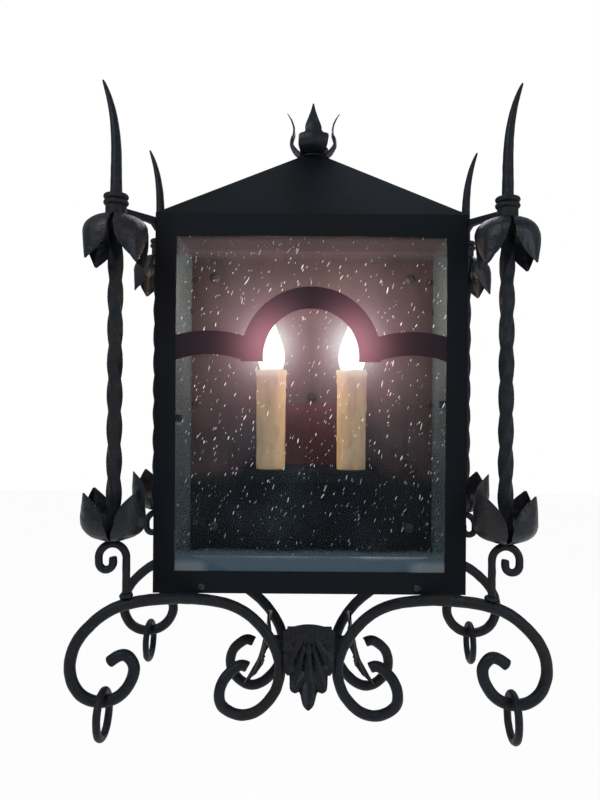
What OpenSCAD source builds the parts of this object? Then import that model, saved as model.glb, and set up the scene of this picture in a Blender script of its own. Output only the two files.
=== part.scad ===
// Wall lantern of forged iron with two candle lamps.
// Millimetres, +Z up. The wall is the plane Y = 0 and the lantern stands out along -Y.
// X = 0 is its middle plane and Z = 0 is the mid height of its housing.

/* [Housing] */
// Width of the housing across its front
box_w = 330; // [310:1:350]
// Height of the housing from the front rail's lower edge to the eaves
box_h = 401; // [380:1:420]
// Depth of the housing from the wall to its front face
box_d = 209; // [200:1:220]
// Thickness of the frame bars
bar_t = 3; // [2.5:0.1:3.5]
// Width of the front stiles
stile_w = 22; // [20:0.5:24]
// Height of the front header
header_h = 24; // [21:0.5:27]
// Height of the front bottom rail
rail_h = 22.5; // [20:0.5:25]
// Depth of the return legs and height of the side bars
leg_w = 22; // [20:0.5:24]
// Thickness of the back plate
plate_t = 2; // [1.6:0.1:2.4]

/* [Roof and finial] */
// Height of the roof's apex above the eaves
roof_rise = 100; // [90:1:110]
// Thickness of the roof sheet
roof_t = 2; // [1.6:0.1:2.4]
// Width of the flat that carries the finial, along X
roof_flat = 36; // [34:1:40]
// Diameter of the finial's base disc
finial_base_d = 34; // [30:1:38]
// Thickness of the finial's base disc
finial_base_t = 2; // [1.5:0.5:3]
// Radius of the finial's petal tips
finial_r = 32; // [29:0.5:33]
// Height of the finial's petals
finial_h = 52; // [48:1:56]
// Width of a finial petal at its shoulders
finial_petal_w = 34; // [30:1:36]
// Diameter of the finial's bolt
finial_bolt_d = 6; // [5:0.5:7]

/* [Glazing] */
// Thickness of the glass
glass_t = 3; // [2.5:0.1:3.5]
// Thickness of the glass clips
clip_t = 1.2; // [0.8:0.1:1.5]
// Height of a glass clip
clip_h = 7; // [5:0.5:9]
// Length of the two clips that show beside the front pane
clip_long = 25.3; // [24:0.1:27]
// Length of the hidden clips of the front pane
clip_short = 14; // [10:0.5:16]
// Length of a side pane clip's finger over the glass
clip_finger = 8; // [5:0.5:10]
// Free band beside the panes where the clip feet are welded
clip_band = 6; // [5.5:0.1:7]

/* [Arch bar] */
// Outer radius of the centre arch
arch_r = 74; // [70:0.5:78]
// Height of the arch bar
arch_w = 23; // [20:0.5:25]
// Height of the arch's feet above the housing's mid height
arch_foot = 44.3; // [38:0.1:50]
// Outer radius of the two side arches
side_arch_r = 130; // [120:1:145]
// Height of the side arches' crest above the feet
side_arch_h = 32.2; // [29:0.1:35]

/* [Candles] */
// Distance of each candle from the middle plane
candle_x = 48; // [45:0.5:52]
// Distance of the candles from the wall
candle_y = 105; // [98:1:110]
// Outside diameter of a candle cover
candle_d = 35; // [33:0.5:37]
// Wall of a candle cover
candle_wall = 2; // [1.5:0.1:2.2]
// Height of a candle cover
candle_h = 118; // [110:1:124]
// Outside diameter of a lamp socket
socket_d = 28.6; // [28:0.1:29.4]
// Height of a lamp socket
socket_h = 52; // [48:0.5:56]
// Diameter of a bulb's screw base
base_d = 26; // [24:0.1:26.4]
// Height of a bulb's screw base
base_h = 25; // [22:0.5:27]
// Largest diameter of a bulb
bulb_d = 32; // [28:0.5:34]
// Height of a bulb above its base
bulb_h = 66; // [60:1:72]
// Wall of a bulb
bulb_wall = 0.8; // [0.6:0.1:1.2]
// Diameter of the threaded nipple below each candle
nipple_d = 10; // [9:0.5:11]
// Bore of the nipple
nipple_bore = 7; // [6.5:0.1:7.5]
// Diameter of a lamp wire
wire_d = 2; // [1.6:0.1:2.2]

/* [Candle tray] */
// Height of the tray's top below the housing's mid height
tray_drop = 78; // [70:1:86]
// Width of the candle tray
tray_w = 160; // [150:1:170]
// Distance of the tray's front edge from the wall
tray_y = 132; // [126:1:138]
// Thickness of the tray's sheet
tray_t = 2; // [1.5:0.1:2.5]
// Depth of the tray's skirt
tray_skirt = 14; // [12:0.5:17]
// Width of the wiring box
wiring_w = 120; // [114:1:126]
// Height of the wiring box above the tray
wiring_h = 78; // [70:1:82]
// Depth of the wiring box from the back plate
wiring_d = 40; // [36:1:46]
// Thickness of the wiring box's sheet
wiring_t = 1.2; // [1:0.1:1.5]

/* [Wall mounting] */
// Height of the mounting strap's middle
strap_z = -44; // [-46:0.5:-42]
// Width of the mounting strap
strap_w = 25; // [22:0.5:28]
// Length of the mounting strap
strap_l = 136; // [130:1:144]
// Distance between the strap's two studs
stud_pitch = 104; // [100:0.5:108]
// Diameter of the studs
stud_d = 5; // [4:0.5:6]
// Distance between the strap's two slots for the outlet box
slot_pitch = 69.8; // [68:0.1:71]
// Width of the strap's slots
slot_w = 4.6; // [4:0.1:5]
// Length of the strap's slots
slot_l = 10; // [8:0.5:11]
// Diameter of the wiring hole in the back plate
wire_hole_d = 36; // [32:1:40]
// Distance across between the four wall screw holes
wall_pitch_x = 260; // [250:1:268]
// Distance up between the four wall screw holes
wall_pitch_z = 330; // [320:1:338]
// Diameter of the wall screw holes
wall_hole_d = 7; // [6:0.5:8]

/* [Posts] */
// Distance of the posts from the housing's sides
post_out_x = 30.8; // [30.5:0.1:32.5]
// Distance of the front posts from the housing's front
post_out_y = 40; // [38:0.5:44]
// Side of the twisted square bar
post_s = 12.4; // [11.5:0.1:13]
// Width of the bar over its rounded corners
post_diag = 15.8; // [15:0.1:16.2]
// Length of a quarter turn of twist
twist_l = 33; // [28:1:40]
// Diameter of the round neck below the spike
neck_d = 12; // [11:0.1:13]
// Height of the spike tip above the eaves
spike_h = 122; // [110:1:130]
// Distance that the spike tip leans outwards
spike_bow = 14; // [8:0.5:18]
// Diameter of the collar
collar_d = 25; // [23:0.5:27]
// Height of the collar
collar_h = 12; // [11:0.5:14]
// Height of the collar's lower edge below the eaves
collar_drop = 4; // [3:0.1:6]
// Diameter of the arm's eye
eye_d = 21; // [19:0.5:23]
// Height of the arm's eye
arm_h = 8.3; // [7:0.1:9]
// Thickness of the arm
arm_t = 5; // [4:0.5:6]

/* [Flower cups] */
// Radius of the petal tips
cup_r = 36; // [35:0.5:39]
// Height of a cup
cup_h = 49; // [45:1:52]
// Width of a petal
petal_w = 40; // [36:0.5:41]
// Depth by which a petal is hollowed across
petal_cup_d = 8; // [6.5:0.1:8.5]
// Thickness of a petal
petal_t = 1.6; // [1.2:0.1:2]
// Half width of the square from which the petals grow
cup_root = 8.6; // [8:0.1:9.5]
// Turn of the cups about their posts
cup_turn = 50; // [44:1:56]
// Height of the lower cups' bottom above the front rail's lower edge
cup_z = 63.5; // [60:0.5:68]

/* [Hooks] */
// Diameter of the hook bar
hook_d = 8; // [7:0.1:9]
// Distance of the hook's stem inside the post's axis
hook_in = 13; // [12:0.5:14]
// Radius of the hook's arch
hook_r = 13.75; // [13:0.25:15]
// Radius of the hook's curl
curl_r = 7.15; // [6.5:0.05:7.5]
// Straight length between the hook's arch and its curl
curl_drop = 5; // [3:0.5:8]

/* [Scrolls] */
// Diameter of the scroll bar
scroll_d = 12; // [11:0.1:13]
// Height of the bar's crest above the front rail's lower edge
crest_up = 1.2; // [0.8:0.1:2]
// Distance of the outer loop's middle outside the post's axis
loop_out = 11; // [9.5:0.5:12.5]
// Width of the outer loop
loop_w = 65; // [60:1:70]
// Drop of the outer loop below the crest
loop_drop = 100.5; // [92:0.5:108]
// Height by which the rear outer loops end above the front ones
rear_lift = 6.5; // [0:0.5:9]
// Distance of the inner loop's middle from the middle plane
inner_x = 63.5; // [63:0.1:65]
// Width of the inner loop
inner_w = 64.8; // [62:0.1:67]
// Drop of the inner loop below the crest
inner_drop = 139; // [132:0.5:146]
// Distance of the inner loops from the scrolls' middle plane
inner_y = 42; // [40:0.5:44]
// Distance of the lugs from the middle plane
lug_x = 114; // [110:0.5:118]
// Thickness of a lug
lug_t = 6; // [5:0.5:8]
// Width of a lug
lug_w = 10; // [8:0.5:12]
// Height of a lug above the front rail's lower edge
lug_h = 12.2; // [11:0.1:14]

/* [Hanging rings] */
// Outside diameter of a ring
ring_d = 53; // [48:1:58]
// Diameter of the ring's bar
ring_bar = 8; // [7:0.5:9]
// Turn of a hanging ring about the vertical
ring_turn = 0; // [0:1:20]

/* [Pendant] */
// Width of a leaf at its top
leaf_w = 56; // [52:1:58]
// Height of a leaf
leaf_h = 82; // [76:1:88]
// Height of the leaves' top below the front rail's lower edge
leaf_drop = 37.5; // [34:0.5:41]
// Thickness of a leaf
leaf_t = 2; // [1.6:0.1:2.4]
// Depth of the leaf's ribs
rib_d = 1.6; // [1:0.1:2]
// Distance that a leaf tip stands out from the scroll bars
leaf_flare = 25; // [18:0.5:28]
// Thickness of the bracket inside the leaves
bracket_t = 4; // [3:0.5:5]
// Width of the bracket's arms
bracket_w = 30; // [20:1:34]

/* [Fits] */
// Gap between neighbours that don't touch
gap = 0.3; // [0.2:0.05:0.4]
// Gap between a hanging ring and its scroll
ring_gap = 0.4; // [0.3:0.05:0.6]
// Seam between the roof's sheets before welding
seam = 0.1; // [0.05:0.05:0.2]
// Gap round screws and bolts in their holes, at the radius
bolt_gap = 0.15; // [0.1:0.05:0.2]
// Diameter of the small machine screws
screw_d = 4; // [3:0.5:5]
// Diameter of the screws in the lugs
lug_screw_d = 5; // [4:0.5:6]

/* [Hidden] */
$fn = 48;

// Housing
eave_z = box_h / 2;
floor_z = -box_h / 2;
side_x = box_w / 2;
front_y = -box_d;
win_w = box_w - 2 * stile_w;
win_h = box_h - header_h - rail_h;
in_x = side_x - bar_t;
face_y = front_y + bar_t;
plate_y = -bar_t - plate_t;
cut = 1;

// Scrolls
scroll_r = scroll_d / 2;
crest_z = floor_z + crest_up;
post_x = side_x + post_out_x;
plan_y = -(box_d / 2 + post_out_y);
post_y = box_d / 2;
bend_in = 62;
bend_out = post_x - 6.5;
loop_x = post_x + loop_out;
loop_z = crest_z - loop_drop;
inner_z = crest_z - inner_drop;
rail_cross_z = floor_z - scroll_r - gap;
side_bar_z = crest_z + scroll_r + gap;

// Outer loop from its free end to the crest, and inner loop from the crest to its free end.
// Each point is a share of the loop's width and of its drop.
outer_loop = [[-0.11, 0.395], [-0.34, 0.485], [-0.5, 0.355], [-0.43, 0.175], [-0.23, 0.04],
    [0.08, 0], [0.37, 0.095], [0.5, 0.33], [0.39, 0.605], [0.06, 0.835], [-0.22, 0.945]];
inner_loop = [[0.3, 0.865], [-0.116, 0.727], [-0.407, 0.539], [-0.5, 0.382], [-0.48, 0.275],
    [-0.39, 0.16], [-0.14, 0.035], [0.15, 0], [0.42, 0.075], [0.5, 0.17], [0.45, 0.28],
    [0.31, 0.355], [0.17, 0.395], [0.05, 0.378]];

// Posts, arms and cups
neck_r = neck_d / 2;
collar_z = eave_z - collar_drop;
arm_z = collar_z - arm_h;
upper_cup_z = arm_z - gap;
lower_cup_z = floor_z + cup_z;
tenon_r = 2.3;
tip_z = eave_z + spike_h;

// A petal's rows from its root to its tip: radius, height, half width and hollow, each as a
// share of the cup's own size.
petal_rows = [[0.42, 0.025, 0.58, 0.22], [0.64, 0.09, 0.82, 0.55], [0.83, 0.21, 1, 0.88],
    [0.93, 0.37, 1.01, 1], [0.96, 0.57, 0.88, 0.95], [0.97, 0.78, 0.58, 0.6], [1, 1, 0.07, 0]];
finial_rows = [[0.5, 0.02, 0.8, 0.15], [0.73, 0.12, 0.96, 0.35], [0.86, 0.24, 1, 0.5],
    [0.86, 0.37, 0.99, 0.5], [0.81, 0.43, 0.62, 0.4], [0.76, 0.56, 0.57, 0.35],
    [0.77, 0.7, 0.4, 0.2], [0.86, 0.86, 0.18, 0.05], [1, 1, 0.04, 0]];

// Leaf of the pendant: the right half of its lower edge from the middle tip to the side, each
// point as a share of half the width, a share of the height, and the height of its rib.
leaf_edge = [[0, 1, 1], [0.2, 0.95, 0.5], [0.33, 0.83, -1], [0.5, 0.83, 1], [0.7, 0.79, 0.4],
    [0.72, 0.66, -1], [0.84, 0.64, 1], [0.94, 0.56, 0.3], [0.98, 0.34, -0.5], [1, 0.12, 0]];
// Outward curve of a leaf from top to tip: share of the height, share of the flare.
leaf_curve = [[0, 0], [0.15, 0.04], [0.33, 0.09], [0.5, 0.2], [0.66, 0.36], [0.8, 0.58],
    [0.92, 0.84], [1, 1]];
leaf_top_z = floor_z - leaf_drop;
leaf_in_y = inner_y + scroll_r - 2.4;

// Roof and finial
flat_share = roof_flat / box_w;
roof_flat_z = eave_z + roof_rise * (1 - flat_share);
roof_mid_y = -box_d / 2;
finial_base_z = roof_flat_z + roof_t;
finial_z = finial_base_z + finial_base_t;
bolt_r = finial_bolt_d / 2;
bolt_hole_r = bolt_r + bolt_gap;
bolt_head_h = 4;
bolt_head_d = 11;
acorn_d = 14;
acorn_h = 13;

// Candles and mounting
tray_z = -tray_drop;
candle_top = tray_z + candle_h;
socket_z = candle_top - 2 - socket_h;
socket_floor = 22;
socket_bore_r = base_d / 2 + 0.5;
contact_h = 2.7;
base_z = socket_z + socket_floor + contact_h + gap;
nipple_top = socket_z + 10;
nipple_low = tray_z - tray_t - 6;
nut_d = 16;
nut_h = 4;
wire_x = wire_d / 2 + 0.3;
wire_low = nipple_low - 2.5;
wire_bend = 5;
block_w = 44;
block_h = 14;
block_d = 16;
wire_back_y = plate_y - block_d / 2;
block_z = tray_z + wiring_h - 15;
stud_z = [strap_z + stud_pitch / 2, strap_z - stud_pitch / 2];
stud_r = stud_d / 2;
screw_r = screw_d / 2;
plate_screws = [for (sx = [-1, 1], z = [-0.4, 0, 0.4]) [sx * (side_x - leg_w / 2), z * box_h]];
ear = 12;
lug_screw_z = floor_z + 6.5;
lug_bottom = floor_z - 0.8;

// Vector and curve helpers
function unit(v) = v / norm(v);
function lerp(a, b, t) = a + (b - a) * t;
function smooth(t) = let (u = min(1, max(0, t))) u * u * (3 - 2 * u);
function catmull(a, b, c, d, t) =
    0.5 * (2 * b + (c - a) * t + (2 * a - 5 * b + 4 * c - d) * t * t
        + (3 * b - a - 3 * c + d) * t * t * t);
function spline(p, n) = let (m = len(p) - 1)
    [for (i = [0:m - 1]) for (j = [0:n - 1])
        catmull(p[max(0, i - 1)], p[i], p[i + 1], p[min(m, i + 2)], j / n), p[m]];
function at(table, t) = lookup(t, table);

// Faces of a tube of n sides through m rings, closed at both ends
function tube_faces(m, n) = concat(
    [[for (k = [0:n - 1]) k]],
    [for (i = [0:m - 2]) for (k = [0:n - 1])
        let (a = i * n + k, b = i * n + (k + 1) % n) each [[a, a + n, b + n], [a, b + n, b]]],
    [[for (k = [n - 1:-1:0]) (m - 1) * n + k]]);
function tangent(p, i) = unit(p[min(i + 1, len(p) - 1)] - p[max(i - 1, 0)]);
function ring_points(c, t, r, n) = let (u = unit(cross(t, [0, 1, 0])), v = cross(t, u))
    [for (k = [0:n - 1]) c + r * (cos(360 * k / n) * u + sin(360 * k / n) * v)];

// A round bar along a path that never runs along Y
module bar_along(path, r, n) {
    polyhedron([for (i = [0:len(path) - 1]) each ring_points(path[i], tangent(path, i), r, n)],
        tube_faces(len(path), n));
}

// A piece of one corner, drawn for the right front corner about the scrolls' own middle
module corner(sx, sy) {
    translate([0, plan_y, 0])
        mirror([sx < 0 ? 1 : 0, 0, 0])
            mirror([0, sy > 0 ? 1 : 0, 0])
                children();
}

// A pan head screw along +Y whose head sits in front of y = 0
module screw_y(r, head_r, head_h, length) {
    rotate([-90, 0, 0]) {
        cylinder(r = r, h = length);
        translate([0, 0, -head_h]) cylinder(r1 = head_r * 0.7, r2 = head_r, h = head_h);
    }
}

// A hole along Y
module hole_y(r, length) {
    rotate([-90, 0, 0]) cylinder(r = r, h = length);
}

// Front frame of angle bar, open along its bottom
module front_frame() {
    color("#1d1e20") difference() {
        translate([-side_x, front_y, floor_z]) cube([box_w, leg_w, box_h]);
        translate([-in_x, face_y, floor_z - cut])
            cube([2 * in_x, leg_w, box_h - bar_t + cut]);
        translate([-win_w / 2, front_y - cut, floor_z + rail_h])
            cube([win_w, bar_t + 2 * cut, win_h]);
        for (s = [-1, 1])
            translate([s * lug_x, front_y - cut, lug_screw_z])
                hole_y(lug_screw_d / 2 + bolt_gap, bar_t + 2 * cut);
    }
}

// Rear frame of angle bar, flat on the wall
module rear_frame() {
    color("#1d1e20") difference() {
        translate([-side_x, -leg_w, floor_z]) cube([box_w, leg_w, box_h]);
        translate([-in_x, -leg_w - cut, floor_z + bar_t])
            cube([2 * in_x, leg_w - bar_t + cut, box_h - 2 * bar_t]);
        translate([-side_x + leg_w, -bar_t - cut, floor_z + leg_w])
            cube([box_w - 2 * leg_w, bar_t + 2 * cut, box_h - 2 * leg_w]);
        for (p = plate_screws)
            translate([p[0], -bar_t - cut, p[1]]) hole_y(screw_r + bolt_gap, bar_t + 2 * cut);
    }
}

// Four flat bars between the two frames
module side_rails() {
    color("#1d1e20") for (x = [-side_x, in_x], z = [side_bar_z, eave_z - leg_w])
        translate([x, front_y + leg_w, z]) cube([bar_t, box_d - 2 * leg_w, leg_w]);
}

// One sheet of the roof, mitred along its hips and drawn for the side that faces -Y.
// half is half its length at the eaves, other is half the roof's extent across it.
module roof_sheet(half, other) {
    share = roof_flat / box_w;
    rise = roof_rise * (1 - share);
    in_half = roof_t / sin(atan(roof_rise / half));
    in_other = roof_t / sin(atan(roof_rise / other));
    top_half = half * share - in_half;
    top_other = other * share - in_other;
    polyhedron(
        [[-half + seam, -other, 0], [half - seam, -other, 0],
         [half - in_half - seam, -other + in_other, 0],
         [-half + in_half + seam, -other + in_other, 0],
         [-half * share + seam, -other * share, rise], [half * share - seam, -other * share, rise],
         [top_half - seam, -top_other, rise], [-top_half + seam, -top_other, rise]],
        [[0, 1, 2, 3], [0, 4, 5, 1], [1, 5, 6, 2], [2, 6, 7, 3], [3, 7, 4, 0], [7, 6, 5, 4]]);
}

// Roof of four sheets and the flat that carries the finial
module roof() {
    half_d = box_d / 2;
    flat_d = roof_flat * box_d / box_w;
    color("#191a1c") translate([0, roof_mid_y, eave_z]) {
        for (s = [0, 180]) rotate([0, 0, s]) {
            roof_sheet(side_x, half_d);
            rotate([0, 0, 90]) roof_sheet(half_d, side_x);
        }
    }
    color("#191a1c") translate([0, roof_mid_y, roof_flat_z]) difference() {
        translate([-roof_flat / 2, -flat_d / 2, 0]) cube([roof_flat, flat_d, roof_t]);
        translate([0, 0, -cut]) cylinder(r = bolt_hole_r, h = roof_t + 2 * cut);
    }
}

module finial_base() {
    color("#191a1c") translate([0, roof_mid_y, finial_base_z]) difference() {
        cylinder(d = finial_base_d, h = finial_base_t);
        translate([0, 0, -cut]) cylinder(r = bolt_hole_r, h = finial_base_t + 2 * cut);
    }
}

// Four petals that grow out of a flat disc with a bore, as one closed surface.
// The rows give radius, height, half width and hollow; the first row is the square root.
module petal_cup(rows, bore_r, t, turn) {
    nu = 4;
    all = concat([[bore_r, 0, 0, 0]], rows);
    m = len(all) - 1;
    shared = 4 * nu;
    layer = 2 * shared + (m - 1) * 4 * (nu + 1);
    normal = [for (i = [0:m]) i < 2 ? [0, 1] :
        let (a = all[i - 1], b = all[min(i + 1, m)], v = unit([b[0] - a[0], b[1] - a[1]]))
            [-v[1], v[0]]];
    function spot(q, i, k, j) = let (
            u = -1 + 2 * j / nu,
            row = all[i],
            a = turn + 90 * k,
            rad = i == 0 ? bore_r * cos(45 * u) : row[0] - row[3] * u * u + q * t * normal[i][0],
            tan_ = i == 0 ? bore_r * sin(45 * u) : u * row[2],
            z = row[1] + q * t * normal[i][1])
        [rad * cos(a) - tan_ * sin(a), rad * sin(a) + tan_ * cos(a), z];
    function id(q, i, k, j) = q * layer + (i < 2
        ? i * shared + (k * nu + j) % shared
        : 2 * shared + (i - 2) * 4 * (nu + 1) + k * (nu + 1) + j);
    points = [for (q = [0, 1]) each concat(
        [for (i = [0, 1]) for (k = [0:3]) for (j = [0:nu - 1]) spot(q, i, k, j)],
        [for (i = [2:m]) for (k = [0:3]) for (j = [0:nu]) spot(q, i, k, j)])];
    function quad(a, b, c, d) = [[a, b, c], [a, c, d]];
    faces = concat(
        [for (i = [0:m - 1]) for (k = [0:3]) for (j = [0:nu - 1])
            each quad(id(0, i, k, j), id(0, i + 1, k, j), id(0, i + 1, k, j + 1),
                id(0, i, k, j + 1))],
        [for (i = [0:m - 1]) for (k = [0:3]) for (j = [0:nu - 1])
            each quad(id(1, i, k, j + 1), id(1, i + 1, k, j + 1), id(1, i + 1, k, j),
                id(1, i, k, j))],
        [for (k = [0:3]) for (j = [0:nu - 1])
            each quad(id(0, 0, k, j), id(0, 0, k, j + 1), id(1, 0, k, j + 1), id(1, 0, k, j))],
        [for (k = [0:3]) for (j = [0:nu - 1])
            each quad(id(0, m, k, j + 1), id(0, m, k, j), id(1, m, k, j), id(1, m, k, j + 1))],
        [for (k = [0:3]) for (i = [1:m - 1])
            each quad(id(0, i + 1, k, 0), id(0, i, k, 0), id(1, i, k, 0), id(1, i + 1, k, 0))],
        [for (k = [0:3]) for (i = [1:m - 1])
            each quad(id(0, i, k, nu), id(0, i + 1, k, nu), id(1, i + 1, k, nu),
                id(1, i, k, nu))]);
    polyhedron(points, faces);
}

function petal_shape(rows, root, r, h, w, hollow) = concat([[root, 0, root, 0]],
    [for (p = rows) [p[0] * r, p[1] * h, p[2] * w / 2, p[3] * hollow]]);

module finial_petals() {
    color("#17181a") translate([0, roof_mid_y, finial_z])
        petal_cup(petal_shape(finial_rows, 9, finial_r, finial_h, finial_petal_w, 5),
            bolt_hole_r, petal_t, 0);
}

// Acorn nut inside the finial's petals
module finial_nut() {
    color("#2a2b2d") translate([0, roof_mid_y, finial_z + petal_t]) difference() {
        union() {
            cylinder(d = acorn_d, h = 6, $fn = 6);
            translate([0, 0, 6]) cylinder(r1 = acorn_d * 0.42, r2 = acorn_d * 0.2,
                h = acorn_h - 6);
        }
        translate([0, 0, -cut]) cylinder(r = bolt_hole_r, h = 9 + cut);
    }
}

module finial_bolt() {
    low = roof_flat_z - bolt_head_h;
    top = finial_z + petal_t + 8;
    color("#5b5d60") translate([0, roof_mid_y, low]) {
        cylinder(d = bolt_head_d, h = bolt_head_h, $fn = 6);
        cylinder(r = bolt_r, h = top - low);
    }
}

// Ornamental bar across the front opening: a round arch between two low ones
module arch_bar() {
    side_mid = (win_w / 2 + arch_r) / 2 - 1;
    side_z = arch_foot + side_arch_h - side_arch_r;
    color("#1d1e20") translate([0, face_y, 0]) rotate([90, 0, 0]) linear_extrude(bar_t)
        intersection() {
            translate([-win_w / 2, arch_foot]) square([win_w, 2 * arch_r]);
            difference() {
                union() {
                    translate([0, arch_foot + 5.4]) circle(r = arch_r, $fn = 96);
                    for (s = [-1, 1]) difference() {
                        translate([s * side_mid, side_z]) circle(r = side_arch_r, $fn = 180);
                        translate([s * side_mid, side_z])
                            circle(r = side_arch_r - arch_w - 1.8, $fn = 180);
                        translate([s > 0 ? -2 * win_w : 0, -win_w])
                            square([2 * win_w, 2 * win_w]);
                    }
                }
                translate([0, arch_foot + 5.4]) circle(r = arch_r - arch_w, $fn = 96);
            }
        }
}

pane_low = floor_z + lug_h + gap;
pane_high = eave_z - bar_t - gap;
side_pane_y = front_y + bar_t + glass_t + clip_band;
side_pane_back = plate_y - clip_band - 1;

module front_glass() {
    color("#c8d0d4", 0.35) translate([-in_x + gap, face_y, pane_low])
        cube([2 * (in_x - gap), glass_t, pane_high - pane_low]);
}

module side_pane(s) {
    color("#c8d0d4", 0.35)
        translate([s > 0 ? in_x - glass_t : -in_x, side_pane_y, side_bar_z])
            cube([glass_t, side_pane_back - side_pane_y, pane_high - side_bar_z]);
}

module left_glass() {
    side_pane(-1);
}

module right_glass() {
    side_pane(1);
}

// A clip of the front pane, right side: a foot on the return leg and a finger on the glass
module front_clip(z, length) {
    y = face_y + glass_t;
    translate([in_x - length, y, z - clip_h / 2]) cube([length, clip_t, clip_h]);
    translate([in_x - clip_t, y, z - clip_h / 2])
        cube([clip_t, clip_band - gap, clip_h]);
}

// A clip of a side pane, right side: foot, riser at the pane's edge and finger on the glass
module side_clip(z, edge_y, way) {
    y0 = edge_y - way * gap;
    foot = clip_band - 2 * gap;
    translate([in_x - clip_t, way > 0 ? y0 - foot : y0, z - clip_h / 2])
        cube([clip_t, foot, clip_h]);
    translate([in_x - glass_t - clip_t, way > 0 ? y0 - clip_t : y0, z - clip_h / 2])
        cube([glass_t + clip_t, clip_t, clip_h]);
    translate([in_x - glass_t - clip_t, way > 0 ? y0 - clip_t : y0 - clip_finger, z - clip_h / 2])
        cube([clip_t, clip_finger + clip_t, clip_h]);
}

module glass_clips() {
    color("#2a2b2d") for (s = [-1, 1]) mirror([s < 0 ? 1 : 0, 0, 0]) {
        front_clip(-8 + 8.4 * s, clip_long);
        for (z = [-0.36, 0.36]) front_clip(z * box_h, clip_short);
        for (z = [-0.3, 0.3]) {
            side_clip(z * box_h, side_pane_y, 1);
            side_clip(z * box_h, side_pane_back, -1);
        }
    }
}

// Back plate with the wiring hole, stud holes, wall holes and screw holes
module back_plate() {
    color("#4a3a36") translate([0, plate_y, 0]) difference() {
        translate([-in_x + gap, 0, floor_z + bar_t + gap])
            cube([2 * (in_x - gap), plate_t, box_h - 2 * (bar_t + gap)]);
        translate([0, -cut, strap_z]) hole_y(wire_hole_d / 2, plate_t + 2 * cut);
        for (z = stud_z) translate([0, -cut, z]) hole_y(stud_r + bolt_gap, plate_t + 2 * cut);
        for (sx = [-1, 1], sz = [-1, 1])
            translate([sx * wall_pitch_x / 2, -cut, sz * wall_pitch_z / 2])
                hole_y(wall_hole_d / 2, plate_t + 2 * cut);
        for (p = concat(plate_screws, inner_screws))
            translate([p[0], -cut, p[1]]) hole_y(screw_r + bolt_gap, plate_t + 2 * cut);
    }
}

// Screws inside: two in the wiring box's ears, two in the tray's tabs and one for earth
ear_x = wiring_w / 2 + ear / 2;
ear_z = tray_z + wiring_h / 2;
tab_x = tray_w / 2 - 14;
tab_z = tray_z - tray_t - 7;
earth = [34, tray_z + 16];
inner_screws = [[-ear_x, ear_z], [ear_x, ear_z], [-tab_x, tab_z], [tab_x, tab_z], earth];

module mounting_strap() {
    color("#8a8d90") translate([0, -bar_t, strap_z]) difference() {
        translate([-strap_w / 2, 0, -strap_l / 2]) cube([strap_w, bar_t, strap_l]);
        for (s = [-1, 1]) {
            translate([0, -cut, s * stud_pitch / 2])
                hole_y(stud_r + bolt_gap, bar_t + 2 * cut);
            translate([0, -cut, s * slot_pitch / 2]) {
                for (e = [-1, 1]) translate([0, 0, e * (slot_l - slot_w) / 2])
                    hole_y(slot_w / 2, bar_t + 2 * cut);
                translate([-slot_w / 2, 0, -(slot_l - slot_w) / 2])
                    cube([slot_w, bar_t + 2 * cut, slot_l - slot_w]);
            }
        }
    }
}

stud_end_y = plate_y - 8;

module strap_studs() {
    color("#8a8d90") for (z = stud_z)
        translate([0, stud_end_y, z]) hole_y(stud_r, -stud_end_y);
}

// Cap nuts that hold the back plate on the studs
module cap_nuts() {
    color("#3a3836") for (z = stud_z) translate([0, plate_y, z]) rotate([90, 0, 0])
        difference() {
            union() {
                cylinder(d = 14, h = 1.2);
                cylinder(d = 11, h = 6, $fn = 6);
                translate([0, 0, 6]) cylinder(r1 = 4.6, r2 = 2.6, h = 4.5);
            }
            translate([0, 0, -cut]) cylinder(r = stud_r + bolt_gap, h = 8 + gap + cut);
        }
}

// Wiring box: a cover open towards the back plate and the tray, with two ears
module wiring_box() {
    color("#3b2c2c") difference() {
        union() {
            translate([-wiring_w / 2, plate_y - wiring_d, tray_z])
                cube([wiring_w, wiring_d, wiring_h]);
            translate([-ear_x - ear / 2, plate_y - wiring_t, ear_z - ear / 2])
                cube([2 * ear_x + ear, wiring_t, ear]);
        }
        translate([-wiring_w / 2 + wiring_t, plate_y - wiring_d + wiring_t, tray_z - cut])
            cube([wiring_w - 2 * wiring_t, wiring_d, wiring_h - wiring_t + cut]);
        for (s = [-1, 1]) translate([s * ear_x, plate_y - wiring_t - cut, ear_z])
            hole_y(screw_r + bolt_gap, wiring_t + 2 * cut);
    }
}

module terminal_block() {
    color("#d8d2c4") difference() {
        translate([-block_w / 2, plate_y - block_d, block_z - block_h / 2])
            cube([block_w, block_d, block_h]);
        for (s = [-1, 1], e = [-1, 1])
            translate([s * (block_w / 2 - 8), wire_back_y, block_z + e * 3])
                rotate([0, s * 90, 0]) cylinder(r = wire_d / 2 + bolt_gap, h = 8 + cut);
    }
}

// A quarter bend of a wire: drawn from +X towards +Y about its own middle
module wire_bend_piece() {
    rotate_extrude(angle = 90) translate([wire_bend, 0]) circle(d = wire_d);
}

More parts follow.
